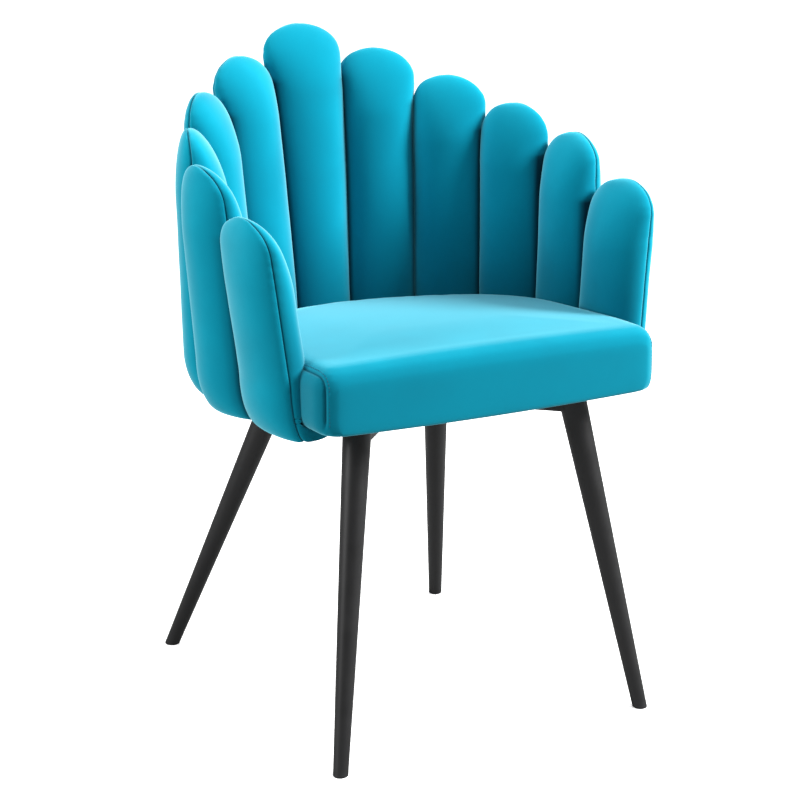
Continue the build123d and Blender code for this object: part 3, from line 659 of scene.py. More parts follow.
class FingerForm:
    """Shape of one finger, counted from the left arm to the right."""

    def __init__(self, back, seat, index):
        self.back = back
        self.seat = seat
        self.index = index
        number = index - MIDDLE_FINGER
        self.begin = (number - 0.5) * back.pitch
        self.end = (number + 0.5) * back.pitch
        arm_end = FINGERS_PER_SIDE * back.pitch + back.front_half_width
        self.free_side = 0
        if number == -FINGERS_PER_SIDE:
            self.begin = -arm_end
            self.free_side = -1
        if number == FINGERS_PER_SIDE:
            self.end = arm_end
            self.free_side = 1
        low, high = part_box(f"finger_cover_{index:02d}")
        self.bottom = low.z - BOTTOM_SAG
        self.top = high.z
        self.splay = back.arm_splay * max(0, abs(number) - SPLAY_START) / (FINGERS_PER_SIDE - SPLAY_START)
        self.swell = back.low_swell * min(1, (FINGERS_PER_SIDE - abs(number)) / 2)
        self.seam_high = SEAM_SHARE if abs(number) > SPLAY_START else HIDDEN_SEAM_SHARE

    def seam_share(self, height):
        """Where the seam lies between the middle of the flank and the outer crown."""
        turned = smooth_step(self.top - height, *SEAM_TURN)
        return self.seam_high + (SEAM_SHARE - self.seam_high) * turned

    def lean(self, height):
        """How far out the finger has leant at a height."""
        rise = height - self.back.plan_height
        return rise * math.tan(self.back.lean_out) + np.maximum(rise, 0) * math.tan(self.splay)

    def fan(self, distance, height):
        """How far along the plan a flank has spread from the middle of the back at each height."""
        spread = min(1, abs(distance) / FAN_START) * (1 - smooth_step(abs(distance), *FAN_EASE))
        rise = np.clip((height - FAN_HEIGHTS[0]) / (FAN_HEIGHTS[1] - FAN_HEIGHTS[0]), 0, 1)
        return math.copysign(self.back.fan * spread, distance) * (2 * rise - 1)

    def flank(self, distance, inwards, height):
        """Where a finger's flank stands at each height, and the direction in which it leans."""
        point, outward, forward = (np.array(v) for v in plan_frame(self.back, distance))
        drawn_in = self.back.gap / 2 + self.fan(distance, height) * inwards
        if self.free_side == -inwards:
            rise = (height - self.back.plan_height) / (self.top - self.back.plan_height)
            drawn_in += self.back.front_taper * np.clip(rise, 0, 1) ** 2
        return point + forward * inwards * drawn_in[:, None], outward

    def bareness(self, side, height):
        """How clear of its neighbours each point of the flanks stands, from 0 to 1."""
        reach = self.back.dome_height
        own = 1 - smooth_step(self.top - height, BARE_TIP, reach * BARE_DOME_SHARE)
        bare = []
        for neighbour in (self.index - 1, self.index + 1):
            if 0 < neighbour < 2 * MIDDLE_FINGER:
                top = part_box(f"finger_cover_{neighbour:02d}")[1].z
                bare.append(np.maximum(own, smooth_step(height, top - reach, top - NEIGHBOUR_TIP)))
            else:
                bare.append(np.ones_like(height))
        return np.where(side < 0, bare[0], bare[1])

    def inner_wall(self, rough, outward, height):
        """Depth at which the seat cushion presses into the finger."""
        back = self.back
        rim = self.seat.rim
        below = seat_height(self.seat, rough[:, 0], rough[:, 1]) - height
        arc = np.sqrt(np.clip(rim ** 2 - np.clip(rim - below, 0, rim) ** 2, 0, None))
        wall = arm_line(back)[1] - rim + arc + SEAT_CLEARANCE
        wall -= self.lean(height)
        wall -= (lean_shift(back, height) - lean_shift(back, BOARD_HIGH.z)) * outward[1]
        if self.free_side:
            wall += FREE_TUCK * (1 - smooth_step(height, self.bottom, self.bottom + FREE_TUCK_HEIGHT))
        return wall, below

    def rail_share(self, along):
        """Whether points along the finger have the rail inside them, from 0 past its end to 1."""
        if not self.free_side:
            return 1.0
        spare = (self.end if self.free_side > 0 else -self.begin) - along * self.free_side
        return smooth_step(spare, RAIL_SETBACK, RAIL_SETBACK + RAIL_END_EASE)

    def pressed_in(self, depth, deep, height, along, rough, outward):
        """Depth of the skin where rail and seat press on it, and how far below the seat's top it is."""
        back = self.back
        half = back.thickness / 2 - SLACK
        behind = self.rail_share(along)
        low = 1 - smooth_step(height, *RAIL_TOP)
        inward = back.arm_inward * smooth_step(np.abs(along), *ARM_EASE)
        floor = -half - FAR + low * behind * (FAR + half - RAIL_DEPTH + inward)
        lip = RAIL_LOW.z - LIP_DROP + (SEAT_LOW.z - RAIL_LOW.z - FREE_LIP_DROP) * (1 - behind)
        above_lip = smooth_step(height, lip, lip + LIP_EASE)
        wall, below = self.inner_wall(rough, outward, height)
        wall += inward
        pushed = np.maximum(depth, np.maximum(np.minimum(floor, 0), np.minimum(wall, 0)))
        lipped = np.maximum(depth, -half - FAR + behind * (FAR + half - LIP_DEPTH))
        lipped -= FREE_LIP_DEPTH * np.maximum(-deep, 0) * (1 - behind)
        return lipped + (pushed - lipped) * above_lip, below

    def points(self, turn, height):
        """Points of the finger's skin, and the marks of each."""
        back = self.back
        half = back.thickness / 2 - SLACK
        across = swept(np.cos(turn), back.fullness) * FLANK_SWELL
        deep = swept(np.sin(turn), back.fullness)
        drop = self.top - height
        depth_share = dome(drop, back.dome_depth, THIN_POWER)
        width_share = dome(drop, back.dome_height, DOME_POWER)
        bare = self.bareness(across, height)
        flat = np.abs(across) > 1
        pressed = np.clip(across, -1, 1)
        across = (pressed + (across * BARE_SWELL / FLANK_SWELL - pressed) * bare) * width_share
        across -= self.free_side * back.tip_back * (1 - width_share)
        reach = np.abs(deep - self.seam_share(height)) * half * depth_share
        rise = np.clip((height - self.bottom) / back.undercut, 0, 1)
        full = UNDERCUT_LEFT + (1 - UNDERCUT_LEFT) * np.sqrt(1 - (1 - rise) ** 2)
        swell = self.swell * (1 - smooth_step(height, SEAT_LOW.z, SEAT_HIGH.z + SWELL_FADE))
        outer = np.maximum(deep, 0) * swell
        depth = (deep * half * depth_share + half + outer) * full - half
        depth += back.tip_setback * (1 - depth_share)
        left, left_out = self.flank(self.begin, 1, height)
        right, right_out = self.flank(self.end, -1, height)
        middle, outward = (np.array(v) for v in plan_frame(back, (self.begin + self.end) / 2)[:2])
        bulge = ((middle - (left + right) / 2) * outward).sum(axis=1)
        share = ((across + 1) / 2)[:, None]
        along = self.begin + share[:, 0] * (self.end - self.begin)
        rough = left * (1 - share) + right * share
        depth, below = self.pressed_in(depth, deep, height, along, rough, outward)
        depth += self.lean(height)
        place = (left + left_out * depth[:, None]) * (1 - share)
        place += (right + right_out * depth[:, None]) * share
        place += outward * (bulge * (1 - across ** 2) * (1 + deep) / 2)[:, None]
        arm = smooth_step(np.abs(along), *ARM_EASE)
        place[:, 0] -= np.sign(place[:, 0]) * back.arm_inward * arm
        place[:, 1] += lean_shift(back, height) - back.arm_forward * arm
        curled = np.clip((height - back.plan_height) / (CAD_HIGH.z - back.plan_height), 0, None)
        place[:, 1] += back.curl * curled ** 2
        place[:, 2] = height
        hold = (reach < HELD_SEAM) | (flat & (bare < HELD_BARE))
        hold |= ((below > -HELD_SEAT) & (deep < HELD_INNER)) | (height < RAIL_HIGH.z + HELD_RAIL)
        # Painted shade in the creases, low inside the back and along the seams.
        shade = finger_painted_shade(across, deep, bare, below, reach)
        marks = (reach, across, bare, hold * 1.0, deep, shade)
        return place, dict(zip(MARKS, marks))

    def mesh(self):
        """The finger's closed skin, with the marks of each point."""
        rows = finger_rows(self.back, self.bottom, self.top) + [self.bottom + rise for rise in LIP_ROWS]
        if self.free_side:
            rows += [self.bottom + rise + step for rise in FOLD_RISES for step in FOLD_ROWS]
        rows = np.array(sorted(rows))
        form = bmesh.new()
        layers = {name: form.verts.layers.float.new(name) for name in MARKS}
        bmesh.ops.create_grid(form, x_segments=AROUND, y_segments=len(rows) - 1, size=0.5)
        flat = np.array([vert.co for vert in form.verts])
        row = np.rint((flat[:, 1] + 0.5) * (len(rows) - 1)).astype(int)
        height = rows[row]
        turn = skin_angles(self.back, flat[:, 0] + 0.5, self.seam_share(height))
        place, marks = self.points(turn, height)
        place[row == 0] = place[row == 1].mean(axis=0)
        for number, vert in enumerate(form.verts):
            vert.co = place[number]
            for name, layer in layers.items():
                vert[layer] = marks[name][number]
        bmesh.ops.remove_doubles(form, verts=form.verts[:], dist=1e-5)
        bmesh.ops.recalc_face_normals(form, faces=form.faces[:])
        return form


# What is marked on each point of a finger, and the seams, gathers, tucks and painted shade made from it.
MARKS = ("reach", "across", "bare", "hold", "deep", "shade")
FLANK_PAINTED_SHADE = 0.3
FLANK_EASE = (0.72, 1.0)
CREASE_PAINTED_SHADE = 0.65
CREASE_EASE = (0.90, 1.0)
LOW_PAINTED_SHADE = 0.35
LOW_EASE = (-0.01, 0.15)
INNER_EASE = (-0.3, 0.3)
SEAM_DIP_WIDTH = 0.0045
SEAM_GROOVE_WIDTH = 0.0012
SEAM_PAINTED_SHADE = 0.8
PUCKER_WIDTH = 0.011
PUCKER_PITCH = 0.0085
PUCKER_LEAST = 0.25
PUCKER_DROP = 0.05
PUCKER_REACH = 0.035
PUCKER_SEEDS = (5.3, 7.7)
FOLD_DEPTH = 0.0016
FOLD_WIDTH = 0.0011
UNEVEN = 0.0006
UNEVEN_PITCH = 0.055
UNEVEN_SEED = 3.3
CONTACT_EASE = (0.9, 1.0)
FOLD_FADE = (1.0, 0.6)
TIP_EASE = 0.006
TIP_PUSH = 0.3


def finger_painted_shade(across, deep, bare, below, reach):
    """Painted shade of a finger's pile, from 0 to 1: in the creases between fingers, low inside the back
    and along the seams.
    """
    edge = np.abs(across) * (1 - bare)
    shade = FLANK_PAINTED_SHADE * smooth_step(edge, *FLANK_EASE) + CREASE_PAINTED_SHADE * smooth_step(edge, *CREASE_EASE)
    low_down = 1 - smooth_step(-below, *LOW_EASE)
    shade = np.maximum(shade, LOW_PAINTED_SHADE * low_down * smooth_step(-deep, *INNER_EASE))
    return np.maximum(shade, SEAM_PAINTED_SHADE * bell(reach, SEAM_GROOVE_WIDTH) * bare)


def sew_finger(piece, shape):
    """Press the seam into a finger's skin, with small gathers where it turns over the top."""
    back = shape.back
    mesh = piece.data
    place = points_of(mesh)
    reach = values_of(mesh, "reach")
    side = np.sign(values_of(mesh, "across"))
    drop = shape.top - place[:, 2]
    bare = values_of(mesh, "bare")
    at_seam = bell(reach, SEAM_GROOVE_WIDTH)
    near_seam = bell(reach, SEAM_DIP_WIDTH)
    gathered = bell(reach, PUCKER_WIDTH) * (1 - at_seam)
    gathered *= PUCKER_LEAST + (1 - PUCKER_LEAST) * bell(drop - PUCKER_DROP, PUCKER_REACH)
    gather = np.array([
        noise(Vector((height / PUCKER_PITCH, tone * PUCKER_SEEDS[0], shape.index * PUCKER_SEEDS[1])))
        for height, tone in zip(place[:, 2], side)
    ])
    uneven = np.array([
        noise(Vector(spot) / UNEVEN_PITCH + Vector((0, 0, shape.index * UNEVEN_SEED))) for spot in place
    ])
    push = -back.seam_dip * near_seam - back.seam_groove * at_seam + back.pucker * gather * gathered
    push *= bare
    clear = 1 - smooth_step(np.abs(values_of(mesh, "across")) * (1 - bare), *CONTACT_EASE)
    push += UNEVEN * uneven * (1 - near_seam) * clear
    if shape.free_side:
        deep = values_of(mesh, "deep")
        at_front = smooth_step(side * shape.free_side, 0, 1) * (deep < SEAM_SHARE)
        at_front *= smooth_step(-deep, *FOLD_FADE)
        for rise in FOLD_RISES:
            push -= FOLD_DEPTH * bell(place[:, 2] - shape.bottom - rise, FOLD_WIDTH) * at_front
    push *= smooth_step(drop, 0.0, TIP_EASE) * (1 - TIP_PUSH) + TIP_PUSH
    set_points(mesh, place + normals_of(mesh) * push[:, None])


class CHAIR_OT_fingers(bpy.types.Operator):
    """Make the eleven velvet fingers of the back"""

    bl_idname = "chair.fingers"
    bl_label = "Fingers of the back"

    def execute(self, context):
        back = context.scene.chair_back
        velvet = velvet_material(context.scene.chair_finishes)
        seat = context.scene.chair_seat
        shapes = [FingerForm(back, seat, index) for index in range(1, 2 * MIDDLE_FINGER)]
        pieces = []
        held = []
        for shape in shapes:
            replaced = [f"finger_cover_{shape.index:02d}", f"finger_foam_{shape.index:02d}"]
            piece = new_piece(f"back_finger_{shape.index:02d}", shape.mesh(), velvet, replaced)
            held.append(np.flatnonzero(values_of(piece.data, "hold")))
            pieces.append(piece)
        puff(pieces, held, [FINGER_PUFF] * len(pieces))
        for piece, shape in zip(pieces, shapes):
            subdivide(piece)
            sew_finger(piece, shape)
        return {"FINISHED"}


# The seat's outline, which goes a little way under the fingers behind.
REAR_TUCK = 0.006
CORNER_STEPS = 6
ARM_STEPS = 12
BACK_STEPS = 16


def seat_outline(back, seat, count):
    """Points round the seat: the fingers' plan behind, straight sides and a straight front."""
    half_width = SIDE_HIGH.x
    front = SEAT_LOW.y
    bend = back.back_half_angle
    arm_centre, offset = arm_line(back)
    shift = Vector((0, lean_shift(back, BOARD_HIGH.z), 0))
    corner = seat.corner
    points = [Vector((0, front, 0)), Vector((half_width - corner, front, 0))]
    for step in range(1, CORNER_STEPS + 1):
        turn = math.pi / 2 * step / CORNER_STEPS
        points.append(Vector((half_width - corner + corner * math.sin(turn),
                              front + corner - corner * math.cos(turn), 0)))
    for step in range(ARM_STEPS + 1):
        turn = (math.pi / 2 - bend) * step / ARM_STEPS
        reach = back.arm_radius + offset + REAR_TUCK * step / ARM_STEPS
        points.append(shift + arm_centre + Vector((math.cos(turn), math.sin(turn), 0)) * reach)
    reach = back.back_radius + offset + REAR_TUCK
    for step in range(1, BACK_STEPS + 1):
        turn = bend * (1 - step / BACK_STEPS)
        points.append(shift + Vector((0, back.back_centre, 0))
                      + Vector((math.sin(turn), math.cos(turn), 0)) * reach)
    right = np.array([point[:2] for point in points])
    left = right[-2::-1] * (-1, 1)
    ring = np.vstack([right, left])
    run = run_along(ring)
    spots = np.linspace(0, run[-1], count, endpoint=False)
    return np.column_stack([np.interp(spots, run, ring[:, axis]) for axis in (0, 1)])


# The cushion's block: its mesh, lower edge, flare ahead of the arms and bowed front.
OUTLINE_POINTS = 160
HEM_DROP = 0.0025
FLARE_EASE = (0.10, 0.21)
FLARE_RISE = (-0.05, 0.22)
FLARE_SIDE = (0.1, 0.22)
BOW_REACH = 0.06
BOARD_ROOM = (0.004, 0.016)
HEM_RISE = -0.35
VOXEL = 0.0055
RIM_STEPS = 6
HEM_STEPS = 3
PUFF_HEIGHT = 0.9
PUFF_FACING = 0.8


def seat_form(back, seat):
    """Block of the seat cushion, rounded along its upper and lower edges."""
    form = bmesh.new()
    made = bmesh.ops.create_circle(form, cap_ends=True, radius=1, segments=OUTLINE_POINTS)
    spots = seat_outline(back, seat, OUTLINE_POINTS)
    for vert, spot in zip(made["verts"], spots):
        vert.co = (spot[0], spot[1], SEAT_LOW.z)
    lifted = bmesh.ops.extrude_face_region(form, geom=form.faces[:])
    rising = [part for part in lifted["geom"] if isinstance(part, bmesh.types.BMVert)]
    bmesh.ops.translate(form, verts=rising, vec=(0, 0, SEAT_HIGH.z - SEAT_LOW.z))
    bmesh.ops.recalc_face_normals(form, faces=form.faces[:])
    for height, radius, steps in ((SEAT_HIGH.z, seat.rim, RIM_STEPS), (SEAT_LOW.z, seat.hem, HEM_STEPS)):
        rim = [edge for edge in form.edges if all(abs(v.co.z - height) < 1e-6 for v in edge.verts)]
        bmesh.ops.bevel(form, geom=rim, offset=radius, offset_type="OFFSET", segments=steps,
                        profile=0.5, affect="EDGES", material=-1)
    return form


def crown_seat(mesh, seat):
    """Crown, bow and flare the cushion's block, and give the share of its height of each point."""
    place = points_of(mesh)
    share = (place[:, 2] - SEAT_LOW.z) / (SEAT_HIGH.z - SEAT_LOW.z)
    fall = SEAT_HIGH.z - seat_height(seat, place[:, 0], place[:, 1])
    place[:, 2] -= fall * np.clip(share, 0, 1)
    front = smooth_step(place[:, 1], SEAT_LOW.y + BOW_REACH, SEAT_LOW.y)
    middle = np.clip(1 - (place[:, 0] / SIDE_HIGH.x) ** 2, 0, 1)
    place[:, 2] -= seat.bow * front * middle * (1 - np.clip(share, 0, 1))
    ahead = smooth_step(-place[:, 1], *FLARE_EASE) * smooth_step(share, *FLARE_RISE)
    aside = smooth_step(np.abs(place[:, 0]), *FLARE_SIDE)
    place[:, 0] += np.sign(place[:, 0]) * seat.flare * ahead * aside
    near, clear = BOARD_ROOM
    outside = smooth_step(np.abs(place[:, 0]), BOARD_HIGH.x + near, BOARD_HIGH.x + clear)
    before = smooth_step(-place[:, 1], -BOARD_LOW.y + near, -BOARD_LOW.y + clear)
    place[:, 2] -= HEM_DROP * np.maximum(outside, before) * smooth_step(-share, HEM_RISE, 0)
    set_points(mesh, place)
    return share


class CHAIR_OT_seat(bpy.types.Operator):
    """Make the seat cushion with its sewn side panels"""

    bl_idname = "chair.seat"
    bl_label = "Seat cushion"

    def execute(self, context):
        seat = context.scene.chair_seat
        finishes = context.scene.chair_finishes
        form = seat_form(context.scene.chair_back, seat)
        replaced = ("seat_top_panel", "seat_side_panel_left", "seat_side_panel_right", "seat_foam")
        piece = new_piece("seat_cushion", form, velvet_material(finishes), replaced)
        remesh = piece.modifiers.new("even", "REMESH")
        remesh.mode = "VOXEL"
        remesh.voxel_size = VOXEL
        bake_modifiers(piece)
        mesh = piece.data
        share = crown_seat(mesh, seat)
        place = points_of(mesh)
        fixed = (share < PUFF_HEIGHT) | (normals_of(mesh)[:, 2] < PUFF_FACING)
        inside = np.minimum(SIDE_HIGH.x - np.abs(place[:, 0]), place[:, 1] - SEAT_LOW.y)
        puff([piece], [np.flatnonzero(fixed)], [SEAT_PUFF * smooth_step(inside, *PUFF_EASE)])
        subdivide(piece)
        sew_seat(piece, seat)
        mesh = piece.data
        mesh.shade_smooth()
        mesh.materials.clear()
        mesh.materials.append(velvet_material(finishes))
        return {"FINISHED"}


# The seams between the seat's panels, and the painted shade on each panel and along each seam.
SEAT_SEAM_INSET = 0.007
SHOWN_SEAM_END = -0.12
SEAT_SEAM_LINES = (-0.0045, -0.0022, -0.0008, 0.0, 0.0008, 0.0022, 0.0045)
SEAT_GROOVE_WIDTH = 0.0013
SEAT_DIP_WIDTH = 0.006
SEAT_DIP_SHARE = 0.5
SEAM_SHOWN = (SEAT_LOW.z + 0.004, SEAT_LOW.z + 0.020)
PANEL_EDGE = 0.001
SEAT_PAINTED_SHADE = 0.26
SIDE_PANEL_PAINTED_SHADE = 0.38


def seat_seam_place(seat):
    """Distance of the seat's side seams from the chair's middle."""
    return SIDE_HIGH.x + seat.flare - SEAT_SEAM_INSET


def sew_seat(piece, seat):
    """Press the seams between the seat's top panel and its side panels into the cushion."""
    seam_x = seat_seam_place(seat)
    form = bmesh.new()
    form.from_mesh(piece.data)
    for side in (-1, 1):
        for shift in SEAT_SEAM_LINES:
            bmesh.ops.bisect_plane(
                form, geom=form.verts[:] + form.edges[:] + form.faces[:], dist=1e-5,
                plane_co=(side * (seam_x + shift), 0, 0), plane_no=(1, 0, 0))
    form.to_mesh(piece.data)
    form.free()
    mesh = piece.data
    place = points_of(mesh)
    reach = np.abs(np.abs(place[:, 0]) - seam_x)
    shown = smooth_step(place[:, 2], *SEAM_SHOWN)
    push = seat.groove * bell(reach, SEAT_GROOVE_WIDTH)
    push += seat.groove * SEAT_DIP_SHARE * bell(reach, SEAT_DIP_WIDTH)
    set_points(mesh, place - normals_of(mesh) * (push * shown)[:, None])
    # Painted shade: the whole seat darker than the fingers, the side panels darker still, and a dark line
    # along each seam.
    aside = smooth_step(np.abs(place[:, 0]), seam_x, seam_x + PANEL_EDGE)
    shade = SEAT_PAINTED_SHADE + (SIDE_PANEL_PAINTED_SHADE - SEAT_PAINTED_SHADE) * aside
    shade = np.maximum(shade, SEAM_PAINTED_SHADE * bell(reach, SEAT_GROOVE_WIDTH) * shown)
    mark = mesh.attributes.new("shade", "FLOAT", "POINT")
    mark.data.foreach_set("value", shade.astype(np.float32))


# One stitch, its place beside the seam, and how the seam's line is found on the cushion.
STITCH_LINE = -0.0045
STITCH_LENGTH = 0.0030
STITCH_THICKNESS = 0.0007
STITCH_SEGMENTS = 6
STITCH_RINGS = 4
PATH_TOLERANCE = 2e-4
PATH_LOW = SEAT_LOW.z + 0.006
PATH_MIDDLE = (SEAT_LOW.y + 0.20, SEAT_LOW.z + 0.02)


def seam_path(mesh, x):
    """Points in order along the line where a plane across the chair cuts the cushion's shown skin."""
    place = points_of(mesh)
    spots = place[np.abs(place[:, 0] - x) < PATH_TOLERANCE]
    spots = spots[spots[:, 2] > PATH_LOW]
    order = np.argsort(np.arctan2(spots[:, 2] - PATH_MIDDLE[1], -(spots[:, 1] - PATH_MIDDLE[0])))
    return spots[order]


class CHAIR_OT_stitches(bpy.types.Operator):
    """Sew a row of stitches beside each of the seat's seams"""

    bl_idname = "chair.stitches"
    bl_label = "Seat stitches"

    def execute(self, context):
        seat = context.scene.chair_seat
        cushion = bpy.data.objects["seat_cushion"]
        form = bmesh.new()
        for side in (-1, 1):
            path = seam_path(cushion.data, side * (seat_seam_place(seat) + STITCH_LINE))
            path = path[path[:, 1] < SHOWN_SEAM_END]
            run = run_along(path)
            for start in np.arange(seat.stitch, run[-1] - seat.stitch, seat.stitch):
                ends = [Vector(spot_at(path, run, start + reach)) for reach in (0, STITCH_LENGTH)]
                aim = (ends[1] - ends[0]).to_track_quat("Z", "Y").to_matrix().to_4x4()
                shape = Matrix.Translation((ends[0] + ends[1]) / 2) @ aim
                shape @= Matrix.Diagonal((STITCH_THICKNESS, STITCH_THICKNESS, STITCH_LENGTH / 2, 1))
                bmesh.ops.create_uvsphere(
                    form, u_segments=STITCH_SEGMENTS, v_segments=STITCH_RINGS, radius=1, matrix=shape)
        new_piece("seat_stitches", form, thread_material(context.scene.chair_finishes))
        return {"FINISHED"}


# The dust cloth's mesh and sag, and the staples along its edge.
CLOTH_CELL = 0.015
CLOTH_SAG = 0.0022
CLOTH_THICKNESS = 0.0006
CLOTH_EDGE = (0.002, 0.03)
SAG_PITCH = 22
SAG_SPREAD = 0.5
BAR_ROOM = (0.010, 0.05)
STAPLE_PITCH = 0.055
STAPLE_INSET = 0.008
STAPLE_SIZE = (0.0105, 0.0012, 0.0007)
STAPLE_AIM = 0.002
STAPLE_ROUNDING = 0.3


def longest_ring(form):
    """Points in order round the longest open edge of a sheet."""
    left = [edge for edge in form.edges if edge.is_boundary]
    rings = []
    while left:
        edge = left.pop(0)
        start, vert = edge.verts
        ring = [start.co.copy(), vert.co.copy()]
        while vert is not start:
            edge = next(step for step in vert.link_edges if step in left)
            left.remove(edge)
            vert = edge.other_vert(vert)
            ring.append(vert.co.copy())
        rings.append(np.array(ring))
    return max(rings, key=lambda ring: run_along(ring)[-1])


class CHAIR_OT_dust_cover(bpy.types.Operator):
    """Stretch the dust cloth under the seat and staple it down"""

    bl_idname = "chair.dust_cover"
    bl_label = "Dust cloth"

    def execute(self, context):
        form = bmesh.new()
        form.from_mesh(frame["nodes"]["dust_cover"].data)
        bmesh.ops.remove_doubles(form, verts=form.verts[:], dist=1e-6)
        form.normal_update()
        others = [face for face in form.faces if face.normal.z > -0.5]
        bmesh.ops.delete(form, geom=others, context="FACES")
        area = sum(face.calc_area() for face in form.faces)
        ring = longest_ring(form)
        for axis in (0, 1):
            across = (1, 0, 0) if axis == 0 else (0, 1, 0)
            for spot in np.arange(CLOTH_LOW[axis] + CLOTH_CELL, CLOTH_HIGH[axis], CLOTH_CELL):
                bmesh.ops.bisect_plane(
                    form, geom=form.verts[:] + form.edges[:] + form.faces[:], dist=1e-6,
                    plane_co=[spot * share for share in across], plane_no=across)
        bars = bmesh.new()
        for name in ("cross_bar_long", "cross_bar_front_half", "cross_bar_rear_half", "bolt_washers"):
            bars.from_mesh(frame["nodes"][name].data)
        steel = BVHTree.FromBMesh(bars)
        bars.free()
        for vert in form.verts:
            spot = vert.co
            from_edge = np.linalg.norm(ring[:, :2] - np.array(spot[:2]), axis=1).min()
            from_steel = steel.find_nearest(spot)[3]
            slack = smooth_step(from_edge, *CLOTH_EDGE) * smooth_step(from_steel, *BAR_ROOM)
            vert.co.z -= CLOTH_SAG * float(slack) * (1 + SAG_SPREAD * noise(spot * SAG_PITCH))
        bmesh.ops.recalc_face_normals(form, faces=form.faces[:])
        bmesh.ops.solidify(form, geom=form.faces[:], thickness=CLOTH_THICKNESS)
        bmesh.ops.recalc_face_normals(form, faces=form.faces[:])
        cloth = new_piece("dust_cloth", form, plain_material("dust_cloth"), ("dust_cover",))
        zinc = plain_material("zinc_steel")
        staples = new_piece("dust_cloth_staples", staple_form(ring), zinc)
        return {"FINISHED"}


def staple_form(ring):
    """Flat wire staples at even steps just inside the edge of the cloth."""
    form = bmesh.new()
    run = run_along(ring)
    middle = ring.mean(axis=0)
    for start in np.arange(STAPLE_PITCH / 2, run[-1], STAPLE_PITCH):
        spot, ahead = (spot_at(ring, run, start + reach) for reach in (-STAPLE_AIM, STAPLE_AIM))
        along = Vector(ahead - spot).normalized()
        inward = Vector((-along.y, along.x, 0))
        inward *= math.copysign(1, inward.dot(Vector(middle - spot)))
        place = Vector((spot + ahead) / 2) + inward * STAPLE_INSET
        place.z = CLOTH_LOW.z - STAPLE_SIZE[2] / 2
        turn = Matrix.Rotation(math.atan2(along.y, along.x), 4, "Z")
        size = Matrix.Diagonal((*STAPLE_SIZE, 1))
        made = bmesh.ops.create_cube(form, size=1, matrix=Matrix.Translation(place) @ turn @ size)
        edges = list(dict.fromkeys(edge for vert in made["verts"] for edge in vert.link_edges))
        bmesh.ops.bevel(form, geom=edges, offset=STAPLE_SIZE[2] * STAPLE_ROUNDING, offset_type="OFFSET",
                        segments=1, profile=0.5, affect="EDGES", material=-1)
    return form


class CHAIR_OT_hard_parts(bpy.types.Operator):
    """Give the frame, boards and fixings their finishes"""

    bl_idname = "chair.hard_parts"
    bl_label = "Frame, boards and fixings"

    def execute(self, context):
        finishes = context.scene.chair_finishes
        materials = {
            "black_steel": steel_material(finishes),
            "plywood": plywood_material(),
            "velvet": velvet_material(finishes),
        }
        for slot in PLAIN_FINISHES:
            materials[slot] = plain_material(slot)
        for part in frame["record"]["subparts"]:
            node = frame["nodes"][part["node"]]
            node.data.materials.clear()
            node.data.materials.append(materials[part["material_slot"]])
        return {"FINISHED"}


# The photo's viewpoint, the floor and the lights.
CAMERA_PLACE = (-1.47862, -2.62192, 1.19101)
CAMERA_TARGET = (0.0, -0.0208, 0.3894)
CAMERA_LENS = 106.17
FLOOR_SIZE = 40.0
FLOOR_CELLS = 8
FLOOR_PATCHES = 0.98
FLOOR_GLOW = 0.5
FLOOR_BOUNCE = 0.30
SENSOR_WIDTH = 36
WORLD_GLOW = 0.22
OVERHEAD_LIGHT = 2.7
OVERHEAD_ANGLE = 70
LIGHT_TARGET = (0, 0, 0.5)
SOFTBOXES = (
    ("right_softbox", (2.3, -1.9, 2.4), 1.3, 250),
    ("left_softbox", (-3.2, 0.3, 1.5), 1.8, 78),
)


def floor_material(finishes):
    """Pale floor that shines softly and throws little light back up at the chair."""
    material = grained_material(
        "pale_floor", low=[value * FLOOR_PATCHES for value in finishes.floor], high=finishes.floor,
        patch_scale=1.5, grain_scale=200.0, bump=0.02, rough=(0.7, 0.8),
        shader_values={
            "Specular IOR Level": 0.2, "Emission Color": (1, 1, 1, 1), "Emission Strength": FLOOR_GLOW})
    tree = material.node_tree
    ray = add_node(tree, "ShaderNodeLightPath")
    dim = add_node(tree, "ShaderNodeBsdfDiffuse", {"Color": (FLOOR_BOUNCE, FLOOR_BOUNCE, FLOOR_BOUNCE, 1)})
    choose = add_node(tree, "ShaderNodeMixShader")
    link = tree.links.new
    link(ray.outputs["Is Camera Ray"], choose.inputs[0])
    link(dim.outputs[0], choose.inputs[1])
    link(tree.nodes["Principled BSDF"].outputs[0], choose.inputs[2])
    link(choose.outputs[0], tree.nodes["Material Output"].inputs["Surface"])
    return material


def facing(place, target):
    """Turn of a lamp or camera at a place that looks at a target."""
    return (Vector(target) - Vector(place)).to_track_quat("-Z", "Y").to_euler()


def softbox(name, place, size, power):
    """A round soft light that faces the chair."""
    lamp = bpy.data.lights.new(name, "AREA")
    lamp.shape = "DISK"
    lamp.size = size
    lamp.energy = power
    light = bpy.data.objects.new(name, lamp)
    light.location = place
    light.rotation_euler = facing(place, LIGHT_TARGET)
    bpy.context.scene.collection.objects.link(light)


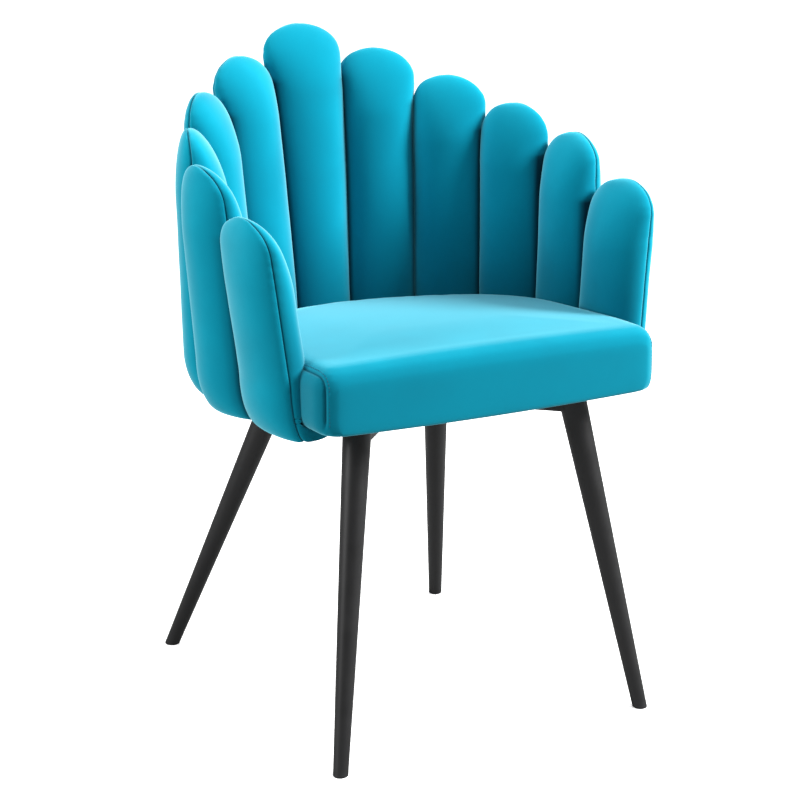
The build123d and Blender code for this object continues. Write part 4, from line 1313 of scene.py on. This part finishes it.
class CHAIR_OT_stage(bpy.types.Operator):
    """Set up the pale floor, the soft light and the camera"""

    bl_idname = "chair.stage"
    bl_label = "Studio"

    def execute(self, context):
        scene = context.scene
        scene.view_settings.view_transform = "Standard"
        form = bmesh.new()
        bmesh.ops.create_grid(form, x_segments=FLOOR_CELLS, y_segments=FLOOR_CELLS, size=FLOOR_SIZE)
        mesh = bpy.data.meshes.new("studio_floor")
        form.to_mesh(mesh)
        form.free()
        floor = bpy.data.objects.new("studio_floor", mesh)
        scene.collection.objects.link(floor)
        mesh.materials.append(floor_material(scene.chair_finishes))
        world = bpy.data.worlds.new("studio_light")
        world.use_nodes = True
        scene.world = world
        glow = world.node_tree.nodes["Background"]
        glow.inputs["Color"].default_value = (1, 1, 1, 1)
        glow.inputs["Strength"].default_value = WORLD_GLOW
        seen = add_node(world.node_tree, "ShaderNodeBackground", {"Color": (1, 1, 1, 1), "Strength": 1.0})
        ray = add_node(world.node_tree, "ShaderNodeLightPath")
        choose = add_node(world.node_tree, "ShaderNodeMixShader")
        link = world.node_tree.links.new
        link(ray.outputs["Is Camera Ray"], choose.inputs[0])
        link(glow.outputs[0], choose.inputs[1])
        link(seen.outputs[0], choose.inputs[2])
        link(choose.outputs[0], world.node_tree.nodes["World Output"].inputs["Surface"])
        sun = bpy.data.objects.new("overhead_light", bpy.data.lights.new("overhead_light", "SUN"))
        sun.data.energy = OVERHEAD_LIGHT
        sun.data.angle = math.radians(OVERHEAD_ANGLE)
        scene.collection.objects.link(sun)
        for values in SOFTBOXES:
            softbox(*values)
        camera = bpy.data.objects.new("camera", bpy.data.cameras.new("camera"))
        camera.data.sensor_width = SENSOR_WIDTH
        camera.data.lens = CAMERA_LENS
        camera.location = CAMERA_PLACE
        camera.rotation_euler = facing(CAMERA_PLACE, CAMERA_TARGET)
        scene.collection.objects.link(camera)
        scene.camera = camera
        return {"FINISHED"}


class CHAIR_PT_panel(bpy.types.Panel):
    """Lists the chair's pieces and sizes"""

    bl_idname = "CHAIR_PT_panel"
    bl_label = "Velvet chair"
    bl_space_type = "VIEW_3D"
    bl_region_type = "UI"
    bl_category = "Chair"

    def draw(self, context):
        layout = self.layout
        for operator in OPERATORS:
            layout.operator(operator.bl_idname)
        for holder, group in ((context.scene.chair_back, BackSizes), (context.scene.chair_seat, SeatSizes),
                              (context.scene.chair_finishes, Finishes)):
            box = layout.box()
            for name in group.__annotations__:
                box.prop(holder, name)


OPERATORS = (CHAIR_OT_hard_parts, CHAIR_OT_fingers, CHAIR_OT_seat, CHAIR_OT_stitches, CHAIR_OT_dust_cover,
             CHAIR_OT_stage)
CLASSES = (BackSizes, SeatSizes, Finishes, *OPERATORS, CHAIR_PT_panel)


def register():
    """Register the classes and the scene's settings."""
    for item in CLASSES:
        bpy.utils.register_class(item)
    bpy.types.Scene.chair_back = bpy.props.PointerProperty(type=BackSizes)
    bpy.types.Scene.chair_seat = bpy.props.PointerProperty(type=SeatSizes)
    bpy.types.Scene.chair_finishes = bpy.props.PointerProperty(type=Finishes)


def unregister():
    """Remove the settings and the classes."""
    del bpy.types.Scene.chair_back
    del bpy.types.Scene.chair_seat
    del bpy.types.Scene.chair_finishes
    for item in reversed(CLASSES):
        bpy.utils.unregister_class(item)


def main():
    """Build every piece and the stage."""
    register()
    bpy.ops.chair.hard_parts()
    bpy.ops.chair.fingers()
    bpy.ops.chair.seat()
    bpy.ops.chair.stitches()
    bpy.ops.chair.dust_cover()
    bpy.ops.chair.stage()


if __name__ == "__main__":
    main()
